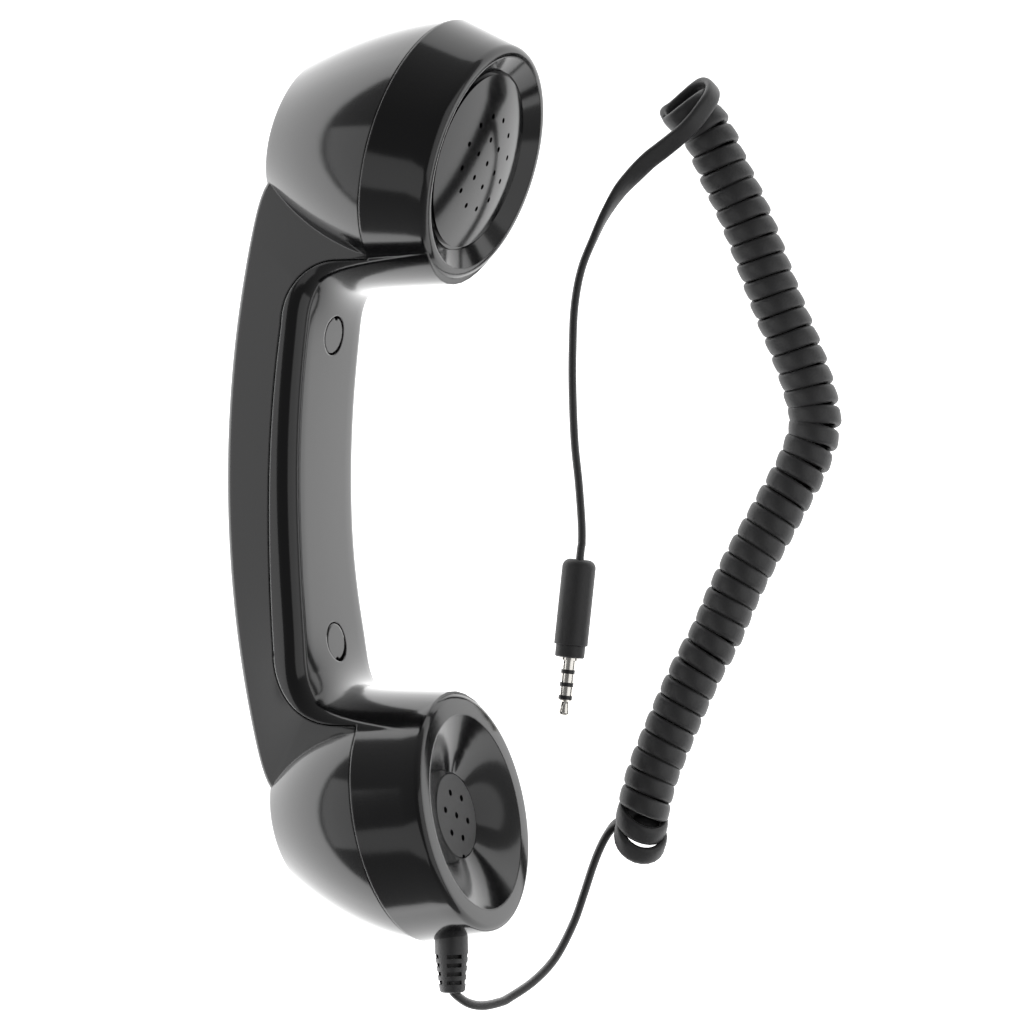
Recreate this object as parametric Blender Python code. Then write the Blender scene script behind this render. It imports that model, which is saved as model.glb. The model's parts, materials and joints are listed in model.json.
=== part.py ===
"""A gloss black telephone handset with a curly cord and a four-contact jack plug.

The handset is modelled in a frame of its own: +X is the way the cups face, +Y runs from the mouthpiece
to the earpiece and +Z is across the grip. It is then rolled onto its side, as it lies on a table.
"""

import math

import bmesh
import bpy
from mathutils import Matrix, Vector

MM = 0.001

# Clearances and walls
FIT_GAP = 0.3 * MM
SEAT_GAP = 0.05 * MM
WALL = 2.2 * MM
OVERCUT = 2.0 * MM
SLOPE_STEP = 0.01 * MM

# How the handset lies: rolled onto the flanks of its domes, with the cups facing sideways and up
ROLL = math.radians(25.0)
TOE_IN = {"ear": math.radians(17.0), "mouth": math.radians(11.0)}

# Spacing of the two cups along the grip, and how far the mouthpiece is set back
CUP_SPACING = 157.0 * MM
GRIP_OFFSET = 0.5 * MM
EAR_OFFSET = CUP_SPACING / 2 - GRIP_OFFSET
MOUTH_SET_BACK = 4.8 * MM

# Grip
GRIP_DEPTH = 18.4 * MM
GRIP_HALF_WIDTH = 17.0 * MM
GRIP_INNER_X = -27.5 * MM
GRIP_MIDDLE_Y = 0.9 * MM
GRIP_INNER_SAG = 11.85 * MM
GRIP_BACK_SAG = 11.63 * MM
GRIP_INNER_RADIUS = CUP_SPACING**2 / (8 * GRIP_INNER_SAG)
GRIP_BACK_RADIUS = CUP_SPACING**2 / (8 * GRIP_BACK_SAG)
GRIP_FRONT_EDGE = 4.4 * MM
GRIP_BACK_EDGE = 2.5 * MM
GRIP_LEAST_EDGE = 0.4 * MM
GRIP_CROWN = 0.8 * MM
GRIP_DRAFT = 0.8 * MM
NECK_FILLET = {"ear": 9.0 * MM, "mouth": 9.5 * MM}
NECK_STAND = {"ear": 1.4 * MM, "mouth": 0.5 * MM}
NECK_MERGE = 15.0 * MM
NECK_SINK = 0.3 * MM
NECK_NARROWING = 5.0 * MM
NECK_EDGE = 0.8 * MM
NECK_RUN_IN = 8.0 * MM
MOUTH_FLARE = 3.6 * MM
FLARE_LENGTH = 42.0 * MM
PARTING_DEPTH = {"ear": 5.6 * MM, "mouth": 7.6 * MM}
PARTING_BOW = 2.6 * MM

# Screws and their covers on the inner face of the grip
COVER_RADIUS = 4.45 * MM
COVER_THICKNESS = 1.5 * MM
COVER_NOTCH = 0.8 * MM
COVER_AT = {"upper": 35.0 * MM, "lower": -38.0 * MM}
COVER_TILT = {"upper": math.radians(-10.0), "lower": math.radians(5.0)}
SCREW_HEAD_RADIUS = 2.9 * MM
SCREW_HEAD_HEIGHT = 2.0 * MM
SCREW_SHANK_RADIUS = 1.3 * MM
SCREW_LENGTH = 7.5 * MM
SCREW_HEAD_DEPTH = 6.0 * MM
SCREW_HEAD_EDGE = 0.4 * MM
SCREW_POINT = 1.2 * MM
RECESS_WING = 1.6 * MM
RECESS_HALF = 0.35 * MM
RECESS_DEPTH = 1.1 * MM
RECESS_TAPER = 0.6
COVER_EDGE = 0.2 * MM
BOSS_WALL = 1.5 * MM

# Facets
CUP_SIDES = 48
HOLLOW_SIDES = 24
TURN_SIDES = 36
SMALL_SIDES = 24
HOLE_SIDES = 8
NOTCH_SIDES = 12
EDGE_STEPS = 3

# Flanges of the earpiece cap and of the mouthpiece funnel, which sit behind the lips of the openings
CAP_FLANGE_WIDTH = 0.8 * MM
FUNNEL_FLANGE_WIDTH = 2.5 * MM
RIM_EDGE = 1.0 * MM

# The two cups: the ring in front of the seam, the lip of its opening, and the dome behind the seam
EAR_SEAM_RADIUS = 31.9 * MM
EAR_RING_TAPER = 3.9 * MM
EAR_RIM_WIDTH = 2.5 * MM
EAR_RIM_RADIUS = EAR_SEAM_RADIUS - EAR_RING_TAPER
CAP_OPENING = EAR_RIM_RADIUS - EAR_RIM_WIDTH
EAR_RING_HEIGHT = 15.5 * MM
EAR_RIM_SHIFT = 1.1 * MM
EAR_SEAM_STEP = 0.3 * MM
EAR_DOME_DEPTH = 34.0 * MM
EAR_DOME_TAPER = 13.0 * MM
EAR_DOME_BACK_RADIUS = EAR_SEAM_RADIUS - EAR_DOME_TAPER
EAR_DOME_START = math.radians(6.1)
EAR_DOME_EDGE = 5.0 * MM
EAR_LIP_DEPTH = 3.0 * MM
MOUTH_SEAM_RADIUS = 29.8 * MM
MOUTH_RING_TAPER = 1.6 * MM
MOUTH_RIM_WIDTH = 5.2 * MM
MOUTH_RIM_RADIUS = MOUTH_SEAM_RADIUS - MOUTH_RING_TAPER
FUNNEL_OPENING = MOUTH_RIM_RADIUS - MOUTH_RIM_WIDTH
MOUTH_RING_HEIGHT = 17.2 * MM
MOUTH_RIM_SHIFT = -1.7 * MM
MOUTH_SEAM_STEP = 0.3 * MM
MOUTH_DOME_DEPTH = 29.5 * MM
MOUTH_DOME_TAPER = 12.9 * MM
MOUTH_DOME_BACK_RADIUS = MOUTH_SEAM_RADIUS - MOUTH_DOME_TAPER
MOUTH_DOME_START = math.radians(10.5)
MOUTH_DOME_EDGE = 5.0 * MM
MOUTH_LIP_DEPTH = 3.0 * MM


class Cup:
    """One of the two cups: a tapered ring in front of the seam and a dome behind it."""

    def __init__(self, name, centre, toe, **sizes):
        self.name = name
        self.centre = Vector((centre[0], centre[1], 0))
        self.forward = Vector((math.cos(toe), math.sin(toe), 0))
        self.along = Vector((-math.sin(toe), math.cos(toe), 0))
        for key, value in sizes.items():
            setattr(self, key, value)

    def place(self, height=0.0, shifted=False):
        """A matrix whose +Z points out of the cup, with its origin on the axis at a height above the seam."""
        shift = self.rim_shift if shifted else 0.0
        origin = self.centre + height * self.forward + shift * self.along
        turn = Matrix((self.along, Vector((0, 0, 1)), self.forward)).transposed()
        return Matrix.Translation(origin) @ turn.to_4x4()

    def rim(self):
        """The matrix of the rim's plane, where the cap sits."""
        return self.place(self.ring_height, shifted=True)

    def dome_radius(self, depth):
        start = self.seam_radius - self.seam_step
        slope = math.tan(self.dome_start)
        bend = (start - slope * self.dome_depth - self.dome_back_radius) / self.dome_depth**2
        return start - slope * depth - bend * depth**2

    def dome_slope(self, depth):
        nearby = self.dome_radius(depth + SLOPE_STEP)
        return math.atan((self.dome_radius(depth) - nearby) / SLOPE_STEP)


EAR = Cup(
    "ear",
    (0.0, EAR_OFFSET),
    -TOE_IN["ear"],
    seam_radius=EAR_SEAM_RADIUS,
    rim_radius=EAR_RIM_RADIUS,
    ring_height=EAR_RING_HEIGHT,
    rim_shift=EAR_RIM_SHIFT,
    seam_step=EAR_SEAM_STEP,
    dome_depth=EAR_DOME_DEPTH,
    dome_back_radius=EAR_DOME_BACK_RADIUS,
    dome_start=EAR_DOME_START,
    dome_lean=-0.18,
    dome_edge=EAR_DOME_EDGE,
    opening_radius=CAP_OPENING,
    lip_depth=EAR_LIP_DEPTH,
    bore_radius=CAP_OPENING + CAP_FLANGE_WIDTH + FIT_GAP,
)
MOUTH = Cup(
    "mouth",
    (-MOUTH_SET_BACK, EAR_OFFSET - CUP_SPACING),
    TOE_IN["mouth"],
    seam_radius=MOUTH_SEAM_RADIUS,
    rim_radius=MOUTH_RIM_RADIUS,
    ring_height=MOUTH_RING_HEIGHT,
    rim_shift=MOUTH_RIM_SHIFT,
    seam_step=MOUTH_SEAM_STEP,
    dome_depth=MOUTH_DOME_DEPTH,
    dome_back_radius=MOUTH_DOME_BACK_RADIUS,
    dome_start=MOUTH_DOME_START,
    dome_lean=0.07,
    dome_edge=MOUTH_DOME_EDGE,
    opening_radius=FUNNEL_OPENING,
    lip_depth=MOUTH_LIP_DEPTH,
    bore_radius=FUNNEL_OPENING + FUNNEL_FLANGE_WIDTH + FIT_GAP,
)

# Earpiece cap, measured from the plane of the rim
CAP_THICKNESS = 1.6 * MM
CAP_LIP = 0.3 * MM
CAP_WALL_RUN = 3.8 * MM
CAP_WALL_FOOT = CAP_OPENING - CAP_WALL_RUN
CAP_RECESS = 2.6 * MM
CAP_GROOVE = 0.8 * MM
CAP_DOME_EDGE_DEPTH = 2.1 * MM
CAP_DOME_TOP = 0.1 * MM
EAR_HOLE_RADIUS = 0.65 * MM
EAR_HOLE_COUNTS = (1, 6, 12)
EAR_HOLE_RINGS = (0.0, 5.7 * MM, 11.2 * MM)
EAR_HOLE_TURN = math.radians(11.0)

# Receiver, behind the earpiece cap
RECEIVER_RADIUS = 17.0 * MM
COLLAR_WALL = 1.4 * MM
GASKET_HEIGHT = 1.0 * MM
GASKET_WIDTH = 2.4 * MM
BASKET_RIM = 1.2 * MM
BASKET_DEPTH = 4.6 * MM
YOKE_RADIUS = 11.0 * MM
YOKE_HEIGHT = 6.0 * MM
YOKE_WALL = 1.2 * MM
MAGNET_RADIUS = 8.2 * MM
MAGNET_HEIGHT = 3.2 * MM
POLE_HEIGHT = 1.1 * MM
COIL_HEIGHT = 3.0 * MM
COIL_WALL = 0.4 * MM
COIL_CLEARANCE = 0.5 * MM
BASKET_WALL = 1.0 * MM
BASKET_HOLE_CLEARANCE = 1.6 * MM
CONE_SKIN = 0.35 * MM
CONE_DEPTH = 1.2 * MM
CONE_SURROUND = 1.5 * MM
DUST_CAP_RISE = 1.0 * MM

# Mouthpiece cup and microphone
FUNNEL_DEPTH = 5.2 * MM
FUNNEL_THICKNESS = 1.6 * MM
GRILLE_RADIUS = 10.0 * MM
GRILLE_THICKNESS = 1.4 * MM
GRILLE_LEDGE = 2.2 * MM
GRILLE_NOTCH = 0.7 * MM
GRILLE_EDGE = 0.15 * MM
MOUTH_HOLE_RADIUS = 0.78 * MM
MOUTH_HOLE_COUNTS = (1, 6)
MOUTH_HOLE_RINGS = (0.0, 5.6 * MM)
MOUTH_HOLE_TURN = math.radians(13.0)
CAPSULE_RADIUS = 4.85 * MM
CAPSULE_HEIGHT = 5.0 * MM
CAPSULE_EDGE = 0.3 * MM
BOOT_WALL = 1.6 * MM
BOOT_LIP = 0.8 * MM

# Strain relief
RELIEF_HEIGHT_ON_RING = 4.4 * MM
RELIEF_LENGTH = 13.0 * MM
RELIEF_COLLAR = 3.6 * MM
RELIEF_ROOT_RADIUS = 3.95 * MM
RELIEF_TIP_RADIUS = 3.05 * MM
RELIEF_FLANGE = 1.4 * MM
RELIEF_FLANGE_WIDTH = 1.6 * MM
RELIEF_FLANGE_ROOM = 1.6 * MM
RELIEF_SLOT = 1.0 * MM
RELIEF_PITCH = 2.05 * MM
RELIEF_ROWS = 4
RELIEF_FIRST_SLOT = 0.9 * MM
RELIEF_EDGE = 0.5 * MM
RELIEF_CORE = 0.62
RELIEF_TILT = math.radians(3.5)

# Board and leads inside
BOARD_SIZE = (1.2 * MM, 18.0 * MM, 12.0 * MM)
BOARD_Y = -58.0 * MM
BOARD_POST = 3.0 * MM
LEAD_RADIUS = 0.6 * MM
LEAD_LIFT = 5.0 * MM
LEAD_SPREAD = {"board": 4.0 * MM, "grip": 10.0 * MM, "neck": 7.0 * MM, "ear": 3.0 * MM, "mouth": 2.0 * MM}
LEAD_NECK_Y = 60.0 * MM

# Cord, measured on the table from the point under the handset's own origin
COIL_RADIUS = 6.35 * MM
CORD_RADIUS = 1.5 * MM
COIL_SPACING = 12.0 * MM
COIL_TAIL = 5.0 * MM
LEAD_SPACING = 7.0 * MM

HANDSET_LEAD = (
    (10.8 * MM, -123.8 * MM, 30.0 * MM),
    (13.7 * MM, -124.2 * MM, 28.5 * MM),
    (16.7 * MM, -123.6 * MM, 26.5 * MM),
    (20.5 * MM, -121.8 * MM, 24.0 * MM),
    (25.0 * MM, -118.9 * MM, 21.0 * MM),
    (28.7 * MM, -115.4 * MM, 18.0 * MM),
    (34.4 * MM, -106.1 * MM, 12.5 * MM),
    (36.9 * MM, -99.7 * MM, 9.5 * MM),
    (39.4 * MM, -93.0 * MM, 7.5 * MM),
    (41.9 * MM, -87.6 * MM, 6.3 * MM),
    (44.1 * MM, -86.3 * MM, 6.3 * MM),
)
COIL_AXIS = (
    (51.4 * MM, -79.8 * MM),
    (55.1 * MM, -66.7 * MM),
    (60.6 * MM, -53.9 * MM),
    (66.9 * MM, -40.8 * MM),
    (72.8 * MM, -28.2 * MM),
    (78.9 * MM, -16.1 * MM),
    (85.6 * MM, -3.7 * MM),
    (90.4 * MM, 5.2 * MM),
    (92.4 * MM, 9.6 * MM),
    (93.1 * MM, 14.3 * MM),
    (92.5 * MM, 19.0 * MM),
    (88.4 * MM, 32.2 * MM),
    (83.2 * MM, 45.4 * MM),
    (78.3 * MM, 58.8 * MM),
    (72.2 * MM, 71.7 * MM),
    (69.5 * MM, 81.0 * MM),
    (67.0 * MM, 85.0 * MM),
)
PLUG_LEAD = (
    (61.4 * MM, 92.3 * MM, 3.5 * MM),
    (57.6 * MM, 88.3 * MM, 2.2 * MM),
    (53.7 * MM, 82.0 * MM, 1.6 * MM),
    (50.3 * MM, 75.0 * MM, 1.6 * MM),
    (44.8 * MM, 68.6 * MM, 1.6 * MM),
    (39.8 * MM, 60.6 * MM, 1.6 * MM),
    (36.4 * MM, 52.2 * MM, 1.6 * MM),
    (34.6 * MM, 43.2 * MM, 1.6 * MM),
    (34.4 * MM, 29.9 * MM, 1.6 * MM),
    (34.3 * MM, 22.4 * MM, 1.6 * MM),
    (34.9 * MM, 9.9 * MM, 1.6 * MM),
    (35.9 * MM, -0.0 * MM, 1.7 * MM),
    (36.5 * MM, -9.9 * MM, 3.0 * MM),
    (36.4 * MM, -16.3 * MM, 4.0 * MM),
    (36.2 * MM, -18.3 * MM, 4.0 * MM),
)

# Plug, along its own axis from the end where the cord enters
PLUG_START = (36.1 * MM, -18.6 * MM)
PLUG_END = (32.1 * MM, -56.6 * MM)
PLUG_RADIUS = 4.0 * MM
PLUG_LENGTH = 20.9 * MM
PLUG_SHOULDER = 1.4 * MM
PLUG_EDGE = 0.4 * MM
PLUG_COLLAR_EDGE = 0.3 * MM
PLUG_COLLAR_RADIUS = 3.5 * MM
PLUG_COLLAR_LENGTH = 3.0 * MM
PLUG_FLANGE_RADIUS = 2.3 * MM
PLUG_FLANGE_LENGTH = 0.6 * MM
CONTACT_RADIUS = 1.75 * MM
BAND_RADIUS = 1.7 * MM
BAND_LENGTH = 0.9 * MM
SLEEVE_LENGTH = 2.3 * MM
RING_LENGTH = 2.15 * MM
TIP_LENGTH = 4.1 * MM
TIP_WAIST = 1.12 * MM
TIP_BULGE = 1.62 * MM

COLOURS = {
    "gloss_black_abs": ((0.010, 0.010, 0.011), 0.12, 0.0),
    "matte_black_pvc": ((0.016, 0.016, 0.017), 0.55, 0.0),
    "nickel_plate": ((0.62, 0.60, 0.57), 0.22, 1.0),
    "zinc_steel": ((0.45, 0.46, 0.48), 0.35, 1.0),
    "ferrite": ((0.05, 0.05, 0.055), 0.6, 0.0),
    "paper_cone": ((0.09, 0.08, 0.07), 0.8, 0.0),
    "copper_coil": ((0.55, 0.22, 0.10), 0.4, 1.0),
    "foam": ((0.03, 0.03, 0.03), 0.9, 0.0),
    "board_green": ((0.02, 0.14, 0.06), 0.5, 0.0),
    "red_pvc": ((0.45, 0.02, 0.02), 0.5, 0.0),
}


def clear_scene():
    for obj in list(bpy.data.objects):
        bpy.data.objects.remove(obj, do_unlink=True)


def material(name):
    """A Principled material in this finish, made once."""
    found = bpy.data.materials.get(name)
    if found:
        return found
    colour, roughness, metallic = COLOURS[name]
    made = bpy.data.materials.new(name)
    made.use_nodes = True
    shader = made.node_tree.nodes["Principled BSDF"]
    shader.inputs["Base Color"].default_value = (*colour, 1.0)
    shader.inputs["Roughness"].default_value = roughness
    shader.inputs["Metallic"].default_value = metallic
    made.diffuse_color = (*colour, 1.0)
    return made


def own_material(node, finish):
    """Each sub-part has its own copy of its finish."""
    made = material(finish).copy()
    made.name = node + "_" + finish
    return made


def object_from(bm, name, parent, place=None, finish=None):
    bmesh.ops.recalc_face_normals(bm, faces=bm.faces)
    mesh = bpy.data.meshes.new(name)
    bm.to_mesh(mesh)
    bm.free()
    obj = bpy.data.objects.new(name, mesh)
    bpy.context.scene.collection.objects.link(obj)
    obj.parent = parent
    if place is not None:
        obj.matrix_local = place
    if finish:
        mesh.materials.append(own_material(name, finish))
        mesh.shade_smooth()
        mesh.set_sharp_from_angle(angle=math.radians(35))
    return obj


def cutter(bm, name, parent, place=None):
    """A helper solid for a Boolean, which isn't a sub-part."""
    obj = object_from(bm, name, parent, place)
    obj.hide_render = True
    obj.display_type = "WIRE"
    return obj


def boolean(obj, other, operation="DIFFERENCE"):
    modifier = obj.modifiers.new(other.name, "BOOLEAN")
    modifier.operation = operation
    modifier.solver = "EXACT"
    modifier.object = other
    return modifier


def loft(sections):
    """A closed solid through sections of equal point count, with a flat cap on each end."""
    bm = bmesh.new()
    rings = [[bm.verts.new(point) for point in section] for section in sections]
    for first, second in zip(rings, rings[1:]):
        for i, vert in enumerate(first):
            bm.faces.new((first[i - 1], vert, second[i], second[i - 1]))
    bm.faces.new(rings[0])
    bm.faces.new(rings[-1])
    return bm


def turned(profile, sides=TURN_SIDES):
    """A solid of revolution about Z from a closed outline of (radius, height) points."""
    bm = bmesh.new()
    verts = [bm.verts.new((radius, 0, height)) for radius, height in profile]
    pairs = [(verts[i - 1], verts[i]) for i in range(len(verts))]
    edges = [bm.edges.new(pair) for pair in pairs if pair[0].co.x > 0 or pair[1].co.x > 0]
    bmesh.ops.spin(
        bm, geom=verts + edges, cent=(0, 0, 0), axis=(0, 0, 1), angle=math.tau, steps=sides, use_merge=True
    )
    bmesh.ops.remove_doubles(bm, verts=bm.verts, dist=1e-7)
    bmesh.ops.dissolve_degenerate(bm, edges=bm.edges, dist=1e-7)
    return bm


def cylinder(radius, low, high, sides=SMALL_SIDES, top_radius=None):
    bm = bmesh.new()
    bmesh.ops.create_cone(
        bm,
        cap_ends=True,
        segments=sides,
        radius1=radius,
        radius2=radius if top_radius is None else top_radius,
        depth=high - low,
        matrix=Matrix.Translation((0, 0, (low + high) / 2)),
    )
    return bm


def box(low, high):
    bm = bmesh.new()
    size = Vector(high) - Vector(low)
    middle = (Vector(high) + Vector(low)) / 2
    bmesh.ops.create_cube(bm, size=1.0, matrix=Matrix.Translation(middle) @ Matrix.Diagonal((*size, 1)))
    return bm


def arc(centre, radius, start, end, steps):
    """Points on a circle in a plane, from one angle to another, both ends included."""
    return [
        (centre[0] + radius * math.cos(angle), centre[1] + radius * math.sin(angle))
        for angle in (start + (end - start) * i / steps for i in range(steps + 1))
    ]


def smooth_route(points, spacing):
    """Points read at an even spacing from a smooth curve through the route's own points."""
    vectors = [Vector(p) for p in points]
    ends = [2 * vectors[0] - vectors[1]] + vectors + [2 * vectors[-1] - vectors[-2]]
    fine = []
    for a, b, c, d in zip(ends, ends[1:], ends[2:], ends[3:]):
        for i in range(16):
            t = i / 16
            bend = (2 * a - 5 * b + 4 * c - d) * t**2 + (3 * b - a - 3 * c + d) * t**3
            fine.append(0.5 * (2 * b + (c - a) * t + bend))
    fine.append(vectors[-1])
    total = sum((q - p).length for p, q in zip(fine, fine[1:]))
    count = max(2, round(total / spacing))
    route, walked, target = [fine[0]], 0.0, total / count
    for p, q in zip(fine, fine[1:]):
        step = (q - p).length
        while walked + step >= target - 1e-9 and len(route) < count:
            route.append(p.lerp(q, (target - walked) / step))
            target += total / count
        walked += step
    route.append(fine[-1])
    return route


def tube(name, route, radius, resolution, parent, finish):
    """A round tube along a route, as a curve with a bevel and filled caps."""
    curve = bpy.data.curves.new(name, "CURVE")
    curve.dimensions = "3D"
    curve.bevel_depth = radius
    curve.bevel_resolution = resolution
    curve.use_fill_caps = True
    spline = curve.splines.new("POLY")
    spline.points.add(len(route) - 1)
    for point, place in zip(spline.points, route):
        point.co = (*place, 1.0)
    curve.materials.append(own_material(name, finish))
    obj = bpy.data.objects.new(name, curve)
    bpy.context.scene.collection.objects.link(obj)
    obj.parent = parent
    return obj


# Shape of the body


def cup_ring(cup, height, radius, shift, sides=CUP_SIDES):
    """One round section of a cup, at a height above the seam."""
    place = cup.place(height)
    angles = [math.tau * i / sides for i in range(sides)]
    return [place @ Vector((radius * math.cos(a) + shift, radius * math.sin(a), 0)) for a in angles]


def dome_sections(cup, inset=0.0, steps=7, sides=CUP_SIDES):
    """Sections of the dome from the seam to the edge of its flat back."""
    depth, edge = cup.dome_depth - inset, cup.dome_edge - inset / 2
    slope = cup.dome_slope(depth - edge)
    straight = depth - edge * (1 - math.sin(slope))
    sections = []
    for i in range(steps + 1):
        a = straight * i / steps
        sections.append((a, cup.dome_radius(a) - inset))
    edge_centre = sections[-1][1] - edge * math.cos(slope)
    turn = math.pi / 2 - slope
    for i in range(1, EDGE_STEPS + 2):
        angle = slope + turn * i / (EDGE_STEPS + 1)
        sections.append((depth - edge + edge * math.sin(angle), edge_centre + edge * math.cos(angle)))
    return [cup_ring(cup, -a, radius, cup.dome_lean * a, sides) for a, radius in sections]


def cup_outside(cup):
    """The whole outside of a cup: rim, tapered ring, seam and dome."""
    sections = []
    for i in range(EDGE_STEPS + 1):
        angle = math.pi / 2 * (1 - i / EDGE_STEPS)
        height = cup.ring_height - RIM_EDGE * (1 - math.sin(angle))
        radius = ring_radius(cup, height) - RIM_EDGE * (1 - math.cos(angle))
        sections.append(cup_ring(cup, height, radius, ring_shift(cup, height)))
    sections.append(cup_ring(cup, 0.0, cup.seam_radius, 0.0))
    return loft(sections + dome_sections(cup))


def cup_inside(cup):
    """The hollow of a cup, from under the lip of its ring to the inside of its dome."""
    under_lip = cup.ring_height - cup.lip_depth
    bore = cup_ring(cup, under_lip, cup.bore_radius, cup.rim_shift, HOLLOW_SIDES)
    return loft([bore] + dome_sections(cup, WALL, 4, HOLLOW_SIDES))


def inner_centre():
    """Centre of the arc that the inner face of the grip follows."""
    return Vector((GRIP_INNER_X + GRIP_INNER_RADIUS, GRIP_MIDDLE_Y, 0))


def ring_shift(cup, height):
    return cup.rim_shift * height / cup.ring_height


def ring_radius(cup, height):
    return cup.seam_radius + (cup.rim_radius - cup.seam_radius) * height / cup.ring_height


def wall_point(cup, height):
    """A point on the neck in the mid-plane, just proud of the ring's wall that faces the other cup."""
    side = -1 if cup is EAR else 1
    reach = ring_shift(cup, height) + side * (ring_radius(cup, height) + NECK_STAND[cup.name])
    return cup.centre + height * cup.forward + reach * cup.along


def neck_centre(cup):
    """Centre of the fillet that turns the inner face of the grip into the ring's side."""
    side = -1 if cup is EAR else 1
    radius = NECK_FILLET[cup.name]
    y = wall_point(cup, 0.0).y + side * radius
    reach = GRIP_INNER_RADIUS - radius
    middle = inner_centre()
    return Vector((middle.x - math.sqrt(reach**2 - (y - middle.y) ** 2), y, 0))


def neck_points(cup, steps):
    """The inner outline from the rim, along the ring's wall and round the neck, to the long arc."""
    side = -1 if cup is EAR else 1
    radius = NECK_FILLET[cup.name]
    centre = neck_centre(cup)
    middle = inner_centre()
    start = -side * math.pi / 2
    end = math.atan2(centre.y - middle.y, centre.x - middle.x)
    end = end if side < 0 else end - math.tau if end > 0 else end
    turn = [Vector((*p, 0)) for p in arc(centre, radius, start, end, steps)]
    walls = [wall_point(cup, cup.ring_height - RIM_EDGE / 2), wall_point(cup, cup.ring_height / 2)]
    return walls + [wall_point(cup, 0.0)] + turn


def back_x(y):
    reach = GRIP_BACK_RADIUS
    return GRIP_INNER_X - GRIP_DEPTH + reach - math.sqrt(reach**2 - (y - GRIP_MIDDLE_Y) ** 2)


def grip_stations():
    """Pairs of points, one on the inner outline and one on the back, from the ear end to the mouth end."""
    ear, mouth = neck_points(EAR, 5), neck_points(MOUTH, 5)
    middle = inner_centre()
    first, last = ear[-1] - middle, mouth[-1] - middle
    turn_from = math.atan2(first.y, first.x) % math.tau
    turn_to = math.atan2(last.y, last.x) % math.tau
    arc_steps = 12
    long_arc = [Vector((*p, 0)) for p in arc(middle, GRIP_INNER_RADIUS, turn_from, turn_to, arc_steps)]
    scale = (GRIP_INNER_RADIUS + GRIP_DEPTH) / GRIP_INNER_RADIUS
    arc_from = middle.y + first.y * scale
    arc_to = middle.y + last.y * scale
    grip = [arc_from + (arc_to - arc_from) * i / arc_steps for i in range(arc_steps + 1)]
    pairs = list(zip(long_arc, [Vector((back_x(y), y, 0)) for y in grip]))
    return neck_pairs(EAR, ear, arc_from) + pairs[1:-1] + neck_pairs(MOUTH, mouth, arc_to)[::-1]


def neck_pairs(cup, fronts, start_y):
    """The stations of one neck, whose backs swing from the grip's back into the cup."""
    side = -1 if cup is EAR else 1
    end_y = cup.centre.y - side * NECK_RUN_IN
    turns = len(fronts) - 3
    ys = [end_y + (start_y - end_y) * i / (turns - 1) for i in range(turns)]
    backs = [Vector((back_x(y), y, 0)) for y in ys]
    rim = fronts[0] - side * cup.rim_radius / 2 * cup.along
    inner = [rim, rim.lerp(backs[0], 0.4), rim.lerp(backs[0], 0.75)]
    return list(zip(fronts, inner + backs))


def grip_half_width(y):
    """Half the width of the grip's inner face, which flares toward the mouthpiece."""
    share = (wall_point(MOUTH, 0.0).y + FLARE_LENGTH - y) / FLARE_LENGTH
    return GRIP_HALF_WIDTH + MOUTH_FLARE * min(max(share, 0.0), 1.0) ** 2


def round_drop(cup, across):
    """How far a ring's round side falls away at a distance from the mid-plane."""
    return cup.seam_radius - math.sqrt(cup.seam_radius**2 - across**2)


def ring_blend(front):
    """How far the inner face has turned into a ring's round side, from 0 on the grip to 1 at the ring."""
    cup = EAR if front.y > GRIP_MIDDLE_Y else MOUTH
    start = neck_centre(cup).x - NECK_FILLET[cup.name]
    share = (front.x - start) / (wall_point(cup, 0.0).x - start)
    return cup, min(max(share, 0.0), 1.0)


def grip_section(front, back, inset=0.0):
    """A section across the grip: flat inside with round edges, which turns into the ring's round side."""
    ahead = (front - back).normalized()
    length = (front - back).length - 2 * inset
    cup, blend = ring_blend(front)
    side = -1 if cup is EAR else 1
    half = grip_half_width(front.y) - inset
    rear_half = GRIP_HALF_WIDTH - GRIP_DRAFT - NECK_NARROWING * blend - inset
    front_edge = max(GRIP_FRONT_EDGE + (NECK_EDGE - GRIP_FRONT_EDGE) * blend - inset, GRIP_LEAST_EDGE)
    back_edge = max(GRIP_BACK_EDGE - inset, GRIP_LEAST_EDGE)
    quarter = math.pi / 2
    outline = arc((length - front_edge, half - front_edge), front_edge, 0, quarter, 4)
    outline += arc((back_edge, rear_half - back_edge), back_edge, quarter, 2 * quarter, EDGE_STEPS)
    flat = rear_half - back_edge
    outline += [(-GRIP_CROWN * (1 - share**2), flat * share) for share in (0.6, 0.0, -0.6)]
    outline += arc((back_edge, back_edge - rear_half), back_edge, 2 * quarter, 3 * quarter, EDGE_STEPS)
    outline += arc((length - front_edge, front_edge - half), front_edge, 3 * quarter, 4 * quarter, 4)
    outline += [(length, -(half - front_edge) * share) for share in (0.7, 0.35, 0.0, -0.35, -0.7)]
    origin = back + inset * ahead
    tuck = 1 + (NECK_STAND[cup.name] + NECK_SINK) / round_drop(cup, NECK_MERGE)
    steepness = tuck * blend / max(side * ahead.dot(cup.along), 0.3)
    points = []
    for p, q in outline:
        drop = round_drop(cup, q) if p > length / 2 else 0.0
        points.append(origin + (p - steepness * drop) * ahead + Vector((0, 0, q)))
    return points


def grip_outside():
    return loft([grip_section(front, back) for front, back in grip_stations()])


def grip_inside():
    """The hollow of the grip, which opens into both cups."""
    stations = grip_stations()
    return loft([grip_section(front, back, WALL) for front, back in stations[3:-3]])


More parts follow.
